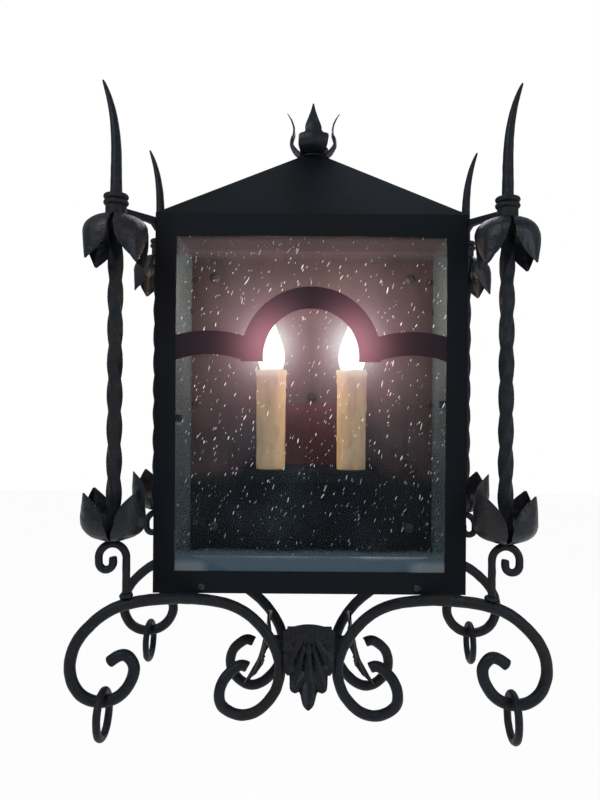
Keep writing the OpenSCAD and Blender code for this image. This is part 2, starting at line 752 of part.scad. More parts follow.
// One wire of the right lamp: down the nipple, back under the tray, up and in to the block
module lamp_wire(e) {
    x = candle_x + e * wire_x;
    up = block_z + e * 3;
    far_y = wire_back_y;
    near_y = -candle_y;
    translate([x, near_y, wire_low + wire_bend])
        cylinder(d = wire_d, h = nipple_top + 2 - wire_low - wire_bend);
    translate([x, near_y + wire_bend, wire_low + wire_bend])
        mirror([0, 1, 0]) rotate([0, 90, 0]) wire_bend_piece();
    translate([x, near_y + wire_bend, wire_low])
        rotate([-90, 0, 0]) cylinder(d = wire_d, h = far_y - near_y - 2 * wire_bend);
    translate([x, far_y - wire_bend, wire_low + wire_bend])
        rotate([0, 90, 0]) wire_bend_piece();
    translate([x, far_y, wire_low + wire_bend])
        cylinder(d = wire_d, h = up - wire_low - 2 * wire_bend);
    translate([x - wire_bend, far_y, up - wire_bend])
        rotate([90, 0, 0]) wire_bend_piece();
    translate([block_w / 2 - 7, far_y, up])
        rotate([0, 90, 0]) cylinder(d = wire_d, h = x - wire_bend - block_w / 2 + 7);
}

module lamp_wires() {
    color("#e8e4da") for (s = [0, 1], e = [-1, 1]) mirror([s, 0, 0]) lamp_wire(e);
}

module machine_screws() {
    color("#4b4b4d") {
        for (p = plate_screws) translate([p[0], plate_y, p[1]])
            screw_y(screw_r, screw_r * 2, 2.4, plate_t + bar_t);
        for (s = [-1, 1]) translate([s * ear_x, plate_y - wiring_t, ear_z])
            screw_y(screw_r, screw_r * 2, 2.4, wiring_t + plate_t + 1);
        for (s = [-1, 1]) translate([s * tab_x, plate_y - tray_t, tab_z])
            screw_y(screw_r, screw_r * 2, 2.4, tray_t + plate_t + 1);
        translate([earth[0], plate_y, earth[1]]) screw_y(screw_r, screw_r * 2, 2.4, plate_t + 1);
    }
}

// Tray: a shelf with a skirt and two tabs on the back plate
module candle_tray() {
    tray_d = tray_y + plate_y;
    color("#1d1e20") difference() {
        union() {
            translate([-tray_w / 2, -tray_y, tray_z - tray_t]) cube([tray_w, tray_d, tray_t]);
            translate([-tray_w / 2, -tray_y, tray_z - tray_skirt])
                cube([tray_w, tray_t, tray_skirt]);
            for (x = [-tray_w / 2, tray_w / 2 - tray_t])
                translate([x, -tray_y, tray_z - tray_skirt]) cube([tray_t, tray_d, tray_skirt]);
            for (s = [-1, 1])
                translate([s * tab_x - 8, plate_y - tray_t, tray_z - tray_skirt])
                    cube([16, tray_t, tray_skirt]);
        }
        for (s = [-1, 1]) {
            translate([s * candle_x, -candle_y, tray_z - tray_t - cut])
                cylinder(r = nipple_d / 2 + bolt_gap, h = tray_t + 2 * cut);
            translate([s * candle_x, wire_back_y, tray_z - tray_t - cut])
                cylinder(r = 5, h = tray_t + 2 * cut);
            translate([s * tab_x, plate_y - tray_t - cut, tab_z])
                hole_y(screw_r + bolt_gap, tray_t + 2 * cut);
        }
    }
}

// Threaded nipple below each socket
module nipples() {
    color("#8a8d90") for (s = [-1, 1]) translate([s * candle_x, -candle_y, nipple_low])
        difference() {
            cylinder(d = nipple_d, h = nipple_top - nipple_low);
            translate([0, 0, -cut]) cylinder(d = nipple_bore, h = nipple_top - nipple_low + 2 * cut);
        }
}

// Nuts that clamp the nipples to the tray
module nipple_nuts() {
    color("#8a8d90") for (s = [-1, 1], z = [tray_z, tray_z - tray_t - nut_h])
        translate([s * candle_x, -candle_y, z]) difference() {
            cylinder(d = nut_d, h = nut_h, $fn = 6);
            translate([0, 0, -cut])
                cylinder(r = nipple_d / 2 + bolt_gap, h = nut_h + 2 * cut);
        }
}

// Lamp sockets: a cup for the screw base above a closed floor
module sockets() {
    color("#222222") for (s = [-1, 1]) translate([s * candle_x, -candle_y, socket_z])
        difference() {
            cylinder(d = socket_d, h = socket_h);
            translate([0, 0, socket_floor]) cylinder(r = socket_bore_r, h = socket_h);
            translate([0, 0, -cut]) cylinder(r = nipple_d / 2 + bolt_gap, h = 10 + cut);
            translate([0, 0, 10 - cut]) cylinder(d = nipple_bore, h = 4 + cut);
        }
}

module socket_contacts() {
    color("#c7a24a") for (s = [-1, 1])
        translate([s * candle_x, -candle_y, socket_z + socket_floor])
            cylinder(d = 7, h = contact_h);
}

module candle_cover(s) {
    color("#e9d9a8") translate([s * candle_x, -candle_y, tray_z]) difference() {
        cylinder(d = candle_d, h = candle_h);
        translate([0, 0, -cut]) cylinder(d = candle_d - 2 * candle_wall, h = candle_h + 2 * cut);
    }
}

module left_candle_cover() {
    candle_cover(-1);
}

module right_candle_cover() {
    candle_cover(1);
}

// Screw base of a bulb, with its contact below
module bulb_base(s) {
    color("#b9a06a") translate([s * candle_x, -candle_y, base_z]) {
        cylinder(d1 = 9, d2 = 15, h = 4);
        translate([0, 0, 4]) cylinder(d = base_d, h = base_h - 4);
    }
}

module left_bulb_base() {
    bulb_base(-1);
}

module right_bulb_base() {
    bulb_base(1);
}

// Flame shaped bulb: share of the height and share of the radius up its wall
flame = [[0, 0.72], [0.08, 0.84], [0.18, 0.97], [0.28, 1], [0.4, 0.95], [0.52, 0.82],
    [0.64, 0.64], [0.76, 0.43], [0.87, 0.25], [0.95, 0.12], [1, 0.05]];

module bulb(s) {
    outer = [for (p = flame) [p[1] * bulb_d / 2, p[0] * bulb_h]];
    inner = [for (i = [len(flame) - 2:-1:0])
        [max(0.4, outer[i][0] - bulb_wall), outer[i][1]]];
    top = outer[len(outer) - 1];
    color("#fff3d8") translate([s * candle_x, -candle_y, base_z + base_h])
        rotate_extrude() polygon(concat(outer, [[0, top[1]], [0, inner[0][1]]], inner));
}

module left_bulb() {
    bulb(-1);
}

module right_bulb() {
    bulb(1);
}

// Lugs on the front scroll bars, behind the front rail
module frame_lugs() {
    color("#1d1e20") for (s = [-1, 1])
        translate([s * lug_x - lug_w / 2, face_y, lug_bottom]) difference() {
            cube([lug_w, lug_t, floor_z + lug_h - lug_bottom]);
            translate([lug_w / 2, -cut, lug_screw_z - lug_bottom])
                hole_y(lug_screw_d / 2 + bolt_gap, lug_t + 2 * cut);
        }
}

// Round head screws through the front rail
module lug_screws() {
    color("#2a2b2d") for (s = [-1, 1]) translate([s * lug_x, front_y, lug_screw_z]) {
        hole_y(lug_screw_d / 2, bar_t + lug_t);
        intersection() {
            translate([0, 2, 0]) sphere(r = 5.2);
            translate([-6, -6, -6]) cube([12, 6, 12]);
        }
    }
}

// Section of the post: four corners, each of two points, blended from square to round
function post_section(z, x, r, round_share, turn) = let (
        square_half = acos(post_s / post_diag) ,
        off = lerp(45 - atan(tan(square_half)), 22.5, round_share))
    [for (k = [0:3]) for (e = [-1, 1])
        let (a = turn + 90 * k + 45 + e * off) [x + r * cos(a), r * sin(a), z]];

// Outward lean of the spike at height z
function spike_x(z) = let (z0 = eave_z + 34)
    spike_bow * pow(max(0, (z - z0) / (tip_z - z0)), 2.7);

// Twisted bar, round neck and bowed spike, forged from one bar
module post() {
    corner_r = post_diag / 2 / cos(asin(0.11));
    twist_low = lower_cup_z + petal_t;
    twist_top = upper_cup_z - petal_t - 5;
    steps = 52;
    neck_low = twist_top + 3.5;
    neck_top = collar_z + collar_h + 1;
    spike = [[0, 1], [0.2, 0.93], [0.38, 0.86], [0.52, 0.79], [0.64, 0.7], [0.75, 0.61],
        [0.85, 0.5], [0.93, 0.38], [0.98, 0.26], [1, 0.14]];
    rings = concat(
        [[lower_cup_z + gap, 0, tenon_r, 1, 0], [twist_low, 0, tenon_r, 1, 0]],
        [for (i = [0:steps]) let (z = lerp(twist_low, twist_top, i / steps))
            [z, 0, corner_r, 0, 90 * (z - twist_low) / twist_l]],
        [[neck_low, 0, neck_r, 1, 90 * (twist_top - twist_low) / twist_l]],
        [for (p = spike) let (z = lerp(neck_top, tip_z, p[0]))
            [z, spike_x(z), neck_r * p[1], 1, 90 * (twist_top - twist_low) / twist_l]]);
    translate([post_x, -post_y, 0]) polyhedron(
        [for (g = rings) each post_section(g[0], g[1], g[2], g[3], g[4])],
        tube_faces(len(rings), 8));
}

module front_left_post() {
    color("#15171a") corner(-1, -1) post();
}

module front_right_post() {
    color("#15171a") corner(1, -1) post();
}

module rear_left_post() {
    color("#15171a") corner(-1, 1) post();
}

module rear_right_post() {
    color("#15171a") corner(1, 1) post();
}

// Collar of two round rings
module collars() {
    bead = collar_h / 4;
    color("#17181a") for (sx = [-1, 1], sy = [-1, 1]) corner(sx, sy)
        translate([post_x, -post_y, collar_z]) rotate_extrude() difference() {
            union() {
                square([collar_d / 2 - bead, collar_h]);
                for (z = [bead, 3 * bead]) translate([collar_d / 2 - bead, z]) circle(r = bead);
            }
            translate([-cut, -cut]) square([neck_r + bolt_gap + cut, collar_h + 2 * cut]);
        }
}

// An arm from a post to the housing: an eye and a flat bar that widens to its foot.
// The bar runs from the post's axis towards the point [to_x, to_y] on the housing's side.
module arm(to_x, to_y) {
    dx = to_x - post_x;
    dy = to_y + post_y;
    reach = norm([dx, dy]);
    translate([post_x, -post_y, arm_z]) difference() {
        union() {
            cylinder(d = eye_d, h = arm_h);
            rotate([0, 0, atan2(dy, dx)]) translate([0, arm_t / 2, 0]) rotate([90, 0, 0])
                linear_extrude(arm_t)
                    polygon([[0, arm_h - 0.5], [0, 0.6], [reach - 14, 1], [reach - 6, 0],
                        [reach - 1, -5], [reach + 8, -9], [reach + 8, arm_h - 0.5]]);
        }
        translate([0, 0, -cut]) cylinder(r = neck_r + bolt_gap, h = arm_h + 2 * cut);
        translate([side_x - post_x - 60, -box_d, -30]) cube([60, 2 * box_d, 60]);
    }
}

module top_arms() {
    color("#17181a") for (sx = [-1, 1]) {
        corner(sx, -1) arm(side_x, front_y + 6 - plan_y);
        corner(sx, 1) arm(side_x, -post_y);
    }
}

module flower_cup(z, up, bore_r, turn) {
    translate([post_x, -post_y, z]) mirror([0, 0, up > 0 ? 0 : 1])
        petal_cup(petal_shape(petal_rows, cup_root, cup_r, cup_h, petal_w, petal_cup_d),
            bore_r, petal_t, turn);
}

module upper_cup(sx, sy) {
    color("#16181a") corner(sx, sy)
        flower_cup(upper_cup_z, -1, neck_r + bolt_gap, -cup_turn);
}

module lower_cup(sx, sy) {
    color("#16181a") corner(sx, sy)
        flower_cup(lower_cup_z, 1, tenon_r + bolt_gap, -cup_turn);
}

module front_left_upper_cup() {
    upper_cup(-1, -1);
}

module front_right_upper_cup() {
    upper_cup(1, -1);
}

module rear_left_upper_cup() {
    upper_cup(-1, 1);
}

module rear_right_upper_cup() {
    upper_cup(1, 1);
}

module front_left_lower_cup() {
    lower_cup(-1, -1);
}

module front_right_lower_cup() {
    lower_cup(1, -1);
}

module rear_left_lower_cup() {
    lower_cup(-1, 1);
}

module rear_right_lower_cup() {
    lower_cup(1, 1);
}

// Hook between a lower cup and its scroll: stem, arch and curl in one plane
module hook() {
    r = hook_d / 2;
    stem_x = post_x - hook_in;
    arch_z = lower_cup_z - gap - hook_r - r;
    arch_x = stem_x + hook_r;
    out_x = stem_x + 2 * hook_r;
    curl_x = out_x - curl_r;
    curl_z = arch_z - curl_drop;
    stem_low = scroll_top(stem_x) + 1.2;
    translate([0, -post_y, 0]) {
        translate([stem_x, 0, stem_low]) cylinder(r = r, h = arch_z - stem_low);
        translate([arch_x, 0, arch_z]) rotate([90, 0, 0])
            rotate_extrude(angle = 180) translate([hook_r, 0]) circle(r = r);
        translate([out_x, 0, curl_z]) cylinder(r = r, h = curl_drop);
        translate([curl_x, 0, curl_z]) rotate([90, 0, 0]) rotate([0, 0, 180])
            rotate_extrude(angle = 180) translate([curl_r, 0]) circle(r = r);
        translate([curl_x - curl_r, 0, curl_z]) cylinder(r = r, h = 2);
        translate([curl_x - curl_r, 0, curl_z + 2]) sphere(r = r);
    }
}

module hooks() {
    color("#15171a") for (sx = [-1, 1], sy = [-1, 1]) corner(sx, sy) hook();
}

// Plan of the scroll bar: distance from the scrolls' middle plane at distance x
function scroll_y(x) = -lerp(inner_y, post_y, smooth((x - bend_in) / (bend_out - bend_in)));

function scroll_points(lift) = concat(
    [for (p = outer_loop)
        [loop_x + p[0] * loop_w, loop_z + lift + p[1] * (loop_drop - lift)]],
    [[post_x - 1.57 * scroll_d, crest_z - 0.12 * scroll_d], [side_x - bar_t / 2, crest_z],
     [side_x - 2.17 * scroll_d, crest_z - 0.14 * scroll_d], [lug_x, rail_cross_z]],
    [for (p = inner_loop) [inner_x + p[0] * inner_w, inner_z + p[1] * inner_drop]]);
function scroll_path(lift) =
    [for (p = spline(scroll_points(lift), 3)) [p[0], scroll_y(p[0]), p[1]]];
front_path = scroll_path(0);
rear_path = scroll_path(rear_lift);

// Top of the scroll bar below the hook's stem
function scroll_top(x) = scroll_r + max([for (p = front_path)
    if (p[2] > crest_z - 1.7 * scroll_d && abs(p[0] - x) < 0.75 * scroll_d) p[2]]);

module scroll(sx, sy) {
    color("#15171a") corner(sx, sy) bar_along(sy < 0 ? front_path : rear_path, scroll_r, 8);
}

module front_left_scroll() {
    scroll(-1, -1);
}

module front_right_scroll() {
    scroll(1, -1);
}

module rear_left_scroll() {
    scroll(-1, 1);
}

module rear_right_scroll() {
    scroll(1, 1);
}

// Lowest point of the outer loop, where a ring hangs
function loop_low(path) = min([for (p = path) if (p[0] > loop_x - 0.8 * loop_w) p[2]]);
function loop_low_x(path) = [for (p = path) if (p[2] == loop_low(path)) p[0]][0];

module ring(sx, sy) {
    tube_r = (ring_d - ring_bar) / 2;
    path = sy < 0 ? front_path : rear_path;
    centre_x = loop_low_x(path);
    centre_z = loop_low(path) + scroll_r + ring_gap - (tube_r - ring_bar / 2);
    color("#15171a") corner(sx, sy) translate([centre_x, scroll_y(centre_x), centre_z])
        rotate([0, 0, ring_turn]) rotate([0, 90, 0])
            rotate_extrude() translate([tube_r, 0]) circle(d = ring_bar);
}

module front_left_ring() {
    ring(-1, -1);
}

module front_right_ring() {
    ring(1, -1);
}

module rear_left_ring() {
    ring(-1, 1);
}

module rear_right_ring() {
    ring(1, 1);
}

// Cross shaped bracket between the four scrolls and the three leaves
bracket_z = inner_z + 0.484 * inner_drop;
leaf_share = (leaf_top_z - bracket_z - bracket_t / 2) / leaf_h;
arm_reach = leaf_in_y + at(leaf_curve, leaf_share) * leaf_flare - rib_d - 2 * gap;

module pendant_bracket() {
    half_x = inner_x - 0.47 * inner_w - scroll_r - gap;
    half_y = inner_y + scroll_r / 6;
    color("#15171a") translate([0, plan_y, bracket_z - bracket_t / 2]) {
        translate([-arm_reach, -bracket_w / 2, 0]) cube([2 * arm_reach, bracket_w, bracket_t]);
        translate([-bracket_w / 2, -arm_reach, 0]) cube([bracket_w, arm_reach, bracket_t]);
        translate([-half_x, -half_y, 0])
            cube([2 * half_x, half_y + inner_y + scroll_r, bracket_t]);
    }
}

// One leaf, facing +X: lobed lower edge, ribs that fan out from its top, and a flared tip
leaf_rows = 6;
leaf_cols = concat([for (i = [len(leaf_edge) - 1:-1:1])
    [-leaf_edge[i][0], leaf_edge[i][1], leaf_edge[i][2]]], leaf_edge);

function leaf_point(col, i, inside) = let (
        t = i / leaf_rows,
        c = leaf_cols[col],
        y = lerp(c[0] * 0.98, c[0], t) * leaf_w / 2,
        z = lerp(0.09 * c[0] * c[0], c[1], t),
        out = at(leaf_curve, z) * leaf_flare + c[2] * rib_d * min(1, 2 * t) - 3 * c[0] * c[0])
    [leaf_in_y + out + (inside ? 0 : leaf_t), y, leaf_top_z - z * leaf_h];

module pendant_leaves() {
    n = len(leaf_cols);
    rows = leaf_rows + 1;
    layer = n * rows;
    size = 2 * layer;
    function id(q, c, i) = q * layer + c * rows + i;
    function quad(a, b, c, d) = [[a, b, c], [a, c, d]];
    one = [for (q = [0, 1]) for (c = [0:n - 1]) for (i = [0:leaf_rows])
        leaf_point(c, i, q == 1)];
    faces = concat(
        [for (c = [0:n - 2]) for (i = [0:leaf_rows - 1])
            each quad(id(0, c, i), id(0, c + 1, i), id(0, c + 1, i + 1), id(0, c, i + 1))],
        [for (c = [0:n - 2]) for (i = [0:leaf_rows - 1])
            each quad(id(1, c, i + 1), id(1, c + 1, i + 1), id(1, c + 1, i), id(1, c, i))],
        [for (c = [0:n - 2])
            each quad(id(0, c + 1, 0), id(0, c, 0), id(1, c, 0), id(1, c + 1, 0))],
        [for (c = [0:n - 2]) each quad(id(0, c, leaf_rows), id(0, c + 1, leaf_rows),
            id(1, c + 1, leaf_rows), id(1, c, leaf_rows))],
        [for (i = [0:leaf_rows - 1])
            each quad(id(0, 0, i), id(0, 0, i + 1), id(1, 0, i + 1), id(1, 0, i))],
        [for (i = [0:leaf_rows - 1])
            each quad(id(0, n - 1, i + 1), id(0, n - 1, i), id(1, n - 1, i),
                id(1, n - 1, i + 1))]);
    color("#16181a") translate([0, plan_y, 0]) polyhedron(
        [for (a = [0, 180, 270]) for (p = one)
            [p[0] * cos(a) - p[1] * sin(a), p[0] * sin(a) + p[1] * cos(a), p[2]]],
        [for (k = [0:2]) for (f = faces) [for (v = f) v + k * size]]);
}

front_frame();
rear_frame();
side_rails();
roof();
finial_base();
finial_petals();
finial_nut();
finial_bolt();
arch_bar();
front_glass();
left_glass();
right_glass();
glass_clips();
back_plate();
mounting_strap();
strap_studs();
cap_nuts();
wiring_box();
terminal_block();
lamp_wires();
machine_screws();
candle_tray();
nipples();
nipple_nuts();
sockets();
socket_contacts();
left_candle_cover();
right_candle_cover();
left_bulb_base();
right_bulb_base();
left_bulb();
right_bulb();
frame_lugs();
lug_screws();
front_left_post();
front_right_post();
rear_left_post();
rear_right_post();
collars();
top_arms();
front_left_upper_cup();
front_right_upper_cup();
rear_left_upper_cup();
rear_right_upper_cup();
front_left_lower_cup();
front_right_lower_cup();
rear_left_lower_cup();
rear_right_lower_cup();
hooks();
front_left_scroll();
front_right_scroll();
rear_left_scroll();
rear_right_scroll();
front_left_ring();
front_right_ring();
rear_left_ring();
rear_right_ring();
pendant_bracket();
pendant_leaves();
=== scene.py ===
"""Looks of a forged iron wall lantern with two candle lamps, built round its packed solids."""

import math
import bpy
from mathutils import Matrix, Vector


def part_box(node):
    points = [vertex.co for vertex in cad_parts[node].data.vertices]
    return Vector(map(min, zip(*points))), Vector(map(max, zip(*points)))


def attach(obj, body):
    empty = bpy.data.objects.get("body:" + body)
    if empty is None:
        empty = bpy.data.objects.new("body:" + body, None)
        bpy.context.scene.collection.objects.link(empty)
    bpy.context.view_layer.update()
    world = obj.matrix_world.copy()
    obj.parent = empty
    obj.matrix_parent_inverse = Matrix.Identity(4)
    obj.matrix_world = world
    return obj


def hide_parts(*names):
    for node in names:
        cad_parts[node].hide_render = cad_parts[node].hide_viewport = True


bl_info = {
    "name": "Forged wall lantern",
    "version": (1, 0, 0),
    "blender": (4, 0, 0),
    "location": "3D View > Sidebar > Lantern",
    "description": "Dresses the solids of a wall lantern: forged ironwork, seeded glass and candles",
    "category": "Object",
}

import bpy
import numpy as np
from bpy.props import FloatProperty, FloatVectorProperty, IntProperty, PointerProperty

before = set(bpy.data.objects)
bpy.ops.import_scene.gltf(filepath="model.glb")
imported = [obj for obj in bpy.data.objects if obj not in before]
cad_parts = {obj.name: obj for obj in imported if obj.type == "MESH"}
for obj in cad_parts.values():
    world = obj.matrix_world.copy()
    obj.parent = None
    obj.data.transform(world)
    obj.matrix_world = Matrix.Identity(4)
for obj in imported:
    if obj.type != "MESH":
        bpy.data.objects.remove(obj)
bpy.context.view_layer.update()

MM = 0.001
PLACE = {-1: "front", 1: "rear"}
HAND = {-1: "left", 1: "right"}
# Each corner's number, its way along X and Y, and its name
CORNERS = tuple((k, sx, sy, f"{PLACE[sy]}_{HAND[sx]}")
                for k, (sx, sy) in enumerate(((1, -1), (-1, -1), (1, 1), (-1, 1))))

# Sizes and places in millimetres, the cups' turn in degrees, and a ring's weld in radians round it
BOX_W, BOX_D = 330.0, 209.0
EAVES, FLOOR = 200.5, -200.5
PLAN_Y = -(BOX_D / 2 + 40.0)
POST_X, POST_Y = BOX_W / 2 + 30.8, BOX_D / 2
POST_R, NECK_R, TENON_R = 6.2, 6.0, 2.3
TWIST_STEP, SPIKE_H, SPIKE_LEAN = 33.0, 122.0, 14.0
COLLAR_Z = EAVES - 4.0
ARM_Z = COLLAR_Z - 8.3
CUP_R, CUP_H, PETAL_W, PETAL_HOLLOW, PETAL_T, CUP_TURN = 36.0, 49.0, 40.0, 8.0, 1.6, -50.0
UPPER_CUP_Z, LOWER_CUP_Z = ARM_Z - 0.3, FLOOR + 63.5
HOOK_X, HOOK_R, CURL_R, HOOK_BAR, HOOK_FOOT = POST_X - 13.0, 13.75, 7.15, 3.95, -193.5
RING_R, RING_BAR, RING_WELD = 22.5, 3.93, 3.9
CREST, SCROLL_R, SCROLL_BAR = FLOOR + 1.2, 6.0, 5.93
OUTER_X, OUTER_W, OUTER_H, REAR_LIFT = POST_X + 11.0, 65.0, 100.5, 6.5
INNER_X, INNER_Y, INNER_W, INNER_H = 63.5, 42.0, 64.8, 139.0
LEAF_TOP, LEAF_H, LEAF_W, LEAF_FLARE, LEAF_IN = FLOOR - 37.5, 82.0, 56.0, 25.0, 45.6
CANDLE_X, CANDLE_Y, TRAY_Z, CANDLE_H, CANDLE_D = 48.0, 105.0, -78.0, 118.0, 35.0
GLARE_X, GLARE_Z = CANDLE_X * 0.93, 62.0
WALL_X, WALL_Z = 130.0, 165.0
HUB_R = (11.5, 12.2, 11.8)
# Air seeds in each side pane
SIDE_SEEDS = 320

# Where films and colours begin and end, in metres: painted lamp light along the top of the front pane,
# painted shade along its foot and paler painted light at its corners, the painted shadow of the tray on
# the back plate, painted lamp light on the rear frame's inner faces, and the warm foot of a bulb
# Painted lamp light along the front pane's top, painted shade along its foot, paler painted light at its
# corners
TOP_LAMP_LIGHT, FOOT_SHADE = (0.150, 0.161), (-0.154, -0.166)
CORNER_LIGHT_X, CORNER_LIGHT_Z = (0.102, 0.120), (-0.164, -0.172)
# Painted shadow of the candle tray on the back plate: its front face and the heights it covers
TRAY_SHADOW_Y, TRAY_SHADOW_Z = (-0.0030, -0.0045), (-0.052, -0.090)
# Painted lamp light on the inner faces of the rear frame
LAMP_LIT_X, LAMP_LIT_Y, LAMP_LIT_Z = (0.1625, 0.1610), (-0.0290, -0.0275), (0.1985, 0.1970)
BULB_FOOT = (0.052, 0.036)

# The stage in metres, the camera's sensor in millimetres and its shift in widths, and plain colours
FLOOR_LEVEL, FLOOR_REACH = -0.62, 4.0
SENSOR_W, CAMERA_SHIFT = 36.0, -0.02
BULB_LIGHT_Z, BULB_LIGHT_R = 0.108, 0.012
BLACK, WHITE = (0.0, 0.0, 0.0), (1.0, 1.0, 1.0)
# Studio lamps: name, place, size, watts and colour
STUDIO = (("key", (-0.9, -1.2, 1.1), 0.7, 13.0, (0.86, 0.92, 1.0)),
          ("fill", (1.1, -1.1, 0.3), 0.9, 6.0, (0.95, 0.97, 1.0)),
          ("rim", (0.2, 0.8, 0.9), 0.8, 7.0, (0.9, 0.95, 1.0)))
# Small fittings: frame nodes, finish, colour, roughness, metal and share of darker specks
FITTINGS = (
    (("glass_clips", "lug_screws", "finial_nut", "cap_nuts"), "blackened steel",
     (0.022, 0.022, 0.024), 0.36, 0.6, 0.25),
    (("machine_screws",), "painted fixings", (0.028, 0.020, 0.020), 0.5, 0.0, 0.25),
    (("mounting_strap", "strap_studs", "finial_bolt", "nipples", "nipple_nuts"), "zinc",
     (0.42, 0.43, 0.44), 0.36, 1.0, 0.25),
    (("sockets",), "phenolic", (0.03, 0.026, 0.024), 0.4, 0.0, 0.25),
    (("socket_contacts",), "contact brass", (0.72, 0.52, 0.2), 0.3, 1.0, 0.25),
    (("terminal_block",), "moulding", (0.72, 0.69, 0.62), 0.45, 0.0, 0.1),
    (("lamp_wires",), "sleeving", (0.78, 0.75, 0.68), 0.6, 0.0, 0.2))


# ---------------------------------------------------------------- settings


class LanternIron(bpy.types.PropertyGroup):
    """Colours and relief of the forged bars, sheets and petals."""

    black: FloatVectorProperty(name="Black", description="Colour of the blackened iron", subtype="COLOR",
                               size=3, min=0, max=1, default=(0.0040, 0.0062, 0.0098))
    patina: FloatVectorProperty(name="Patina", description="Brown that shows through the black",
                                subtype="COLOR", size=3, min=0, max=1, default=(0.017, 0.0125, 0.011))
    # The sheen colour is partly the grey of rubbed places and partly a painted sheen
    sheen: FloatVectorProperty(name="Sheen", description="Cold grey of rubbed places", subtype="COLOR",
                               size=3, min=0, max=1, default=(0.022, 0.038, 0.062))
    dents: FloatProperty(name="Dents", description="Depth of the hammer marks on bars, in millimetres",
                         min=0, max=0.6, default=0.11)
    relief: FloatProperty(name="Relief", description="Strength of the fine scale on the iron",
                          min=0, max=1, default=0.5)
    gloss: FloatProperty(name="Gloss", description="Specular level of the waxed iron",
                         min=0, max=1, default=0.24)


class LanternGlass(bpy.types.PropertyGroup):
    """Tint and seeds of the three panes."""

    haze: FloatVectorProperty(name="Haze", description="Colour of the film on the panes", subtype="COLOR",
                              size=3, min=0, max=1, default=(0.072, 0.103, 0.122))
    film: FloatProperty(name="Film", description="Weight of the film seen square on",
                        min=0, max=1, default=0.06)
    seeds: IntProperty(name="Seeds", description="Air seeds in the front pane",
                       min=0, max=3000, default=1250)
    seed_length: FloatProperty(name="Seed length", description="Longest seed, in millimetres",
                               min=1, max=12, default=8.0)
    seed_lean: FloatProperty(name="Seed lean", description="Lean of the seeds from upright",
                             subtype="ANGLE", min=-1.2, max=1.2, default=math.radians(20))


class LanternLamp(bpy.types.PropertyGroup):
    """Candles and their light."""

    wax: FloatVectorProperty(name="Wax", description="Colour of the candle covers", subtype="COLOR",
                             size=3, min=0, max=1, default=(0.52, 0.39, 0.24))
    glow: FloatVectorProperty(name="Glow", description="Light that shines through the wax",
                              subtype="COLOR", size=3, min=0, max=1, default=(1.0, 0.62, 0.25))
    bulb: FloatVectorProperty(name="Bulb", description="Colour of the lit bulbs", subtype="COLOR",
                              size=3, min=0, max=1, default=(1.0, 0.95, 0.88))
    halo: FloatVectorProperty(name="Halo", description="Pink ring of light round a bulb", subtype="COLOR",
                              size=3, min=0, max=1, default=(1.0, 0.42, 0.52))
    watts: FloatProperty(name="Light", description="Light of one candle lamp, in watts",
                         min=0, max=5, default=0.85)
    drips: IntProperty(name="Drips", description="Runs of wax down one cover", min=0, max=40, default=13)


class LanternStage(bpy.types.PropertyGroup):
    """Camera, floor and studio light."""

    eye: FloatVectorProperty(name="Eye", description="Place of the camera", subtype="TRANSLATION",
                             size=3, default=(0.0056, -0.989, 0.004))
    roll: FloatProperty(name="Roll", description="Turn of the camera about its view", subtype="ANGLE",
                        default=math.radians(-0.45))
    lens: FloatProperty(name="Lens", description="Focal length in millimetres",
                        min=10, max=200, default=33.3)
    ambient: FloatProperty(name="Ambient", description="Light of the surroundings",
                           min=0, max=2, default=0.34)
    floor: FloatVectorProperty(name="Floor", description="Colour of the floor", subtype="COLOR", size=3,
                               min=0, max=1, default=(0.86, 0.86, 0.86))


# ---------------------------------------------------------------- curves and surfaces


def catmull(points, per_span):
    """Points on a smooth curve through the given ones: in each span b to c, with neighbours a and d,
    half of (2b + (c - a)t + (2a - 5b + 4c - d)t^2 + (3b - a - 3c + d)t^3)."""
    p = np.asarray(points, float)
    p = np.vstack([p[:1], p, p[-1:]])
    t = (np.arange(per_span) / per_span)[None, :, None]
    a, b, c, d = (v[:, None, :] for v in (p[:-3], p[1:-2], p[2:-1], p[3:]))
    q = 0.5 * (2 * b + (c - a) * t + (2 * a - 5 * b + 4 * c - d) * t**2
               + (3 * b - a - 3 * c + d) * t**3)
    return np.vstack([q.reshape(-1, p.shape[1]), p[-1:]])


def smooth(t):
    """The step 3t^2 - 2t^3 of t held between 0 and 1."""
    t = np.clip(t, 0, 1)
    return t * t * (3 - 2 * t)


def unit(v):
    """Vectors of length 1 along the last axis."""
    return v / np.maximum(np.linalg.norm(v, axis=-1, keepdims=True), 1e-12)


def turns(count):
    """Angles of points spread evenly round a circle."""
    return 2 * np.pi * np.arange(count) / count


def distance(path):
    """Distance along a path from its first point to each of its points."""
    return np.r_[0, np.cumsum(np.linalg.norm(np.diff(path, axis=0), axis=1))]


def ripple(*coords, seed, low, high, waves=7):
    """A smooth irregular field about 0: the mean of a few sines of the coordinates in millimetres, with
    seeded phases and directions, and wave numbers between low and high."""
    rng = np.random.default_rng(seed)
    out = 0.0
    for _ in range(waves):
        k = rng.uniform(low, high, len(coords)) * rng.choice([-1, 1], len(coords))
        out = out + np.sin(sum(c * w for c, w in zip(coords, k)) + rng.uniform(0, 2 * math.pi))
    return out / waves


def corner(points, sx, sy):
    """Points drawn for the right front corner about the scrolls' middle plane, put at another corner."""
    p = np.array(points, float)
    p[..., 0] *= sx
    p[..., 1] = PLAN_Y + (p[..., 1] if sy < 0 else -p[..., 1])
    return p


def quads_between(low, high):
    """Faces from rows of point numbers to the rows above them, where each row closes round."""
    return np.stack([low, np.roll(low, -1, -1), np.roll(high, -1, -1), high], -1).reshape(-1, 4)


def volume(points, faces):
    """Six times the volume inside faces: a dot b cross c, summed over the triangles of a fan in each."""
    p = points[faces]
    return sum((p[:, 0] * np.cross(p[:, k], p[:, k + 1])).sum() for k in range(1, faces.shape[1] - 1))


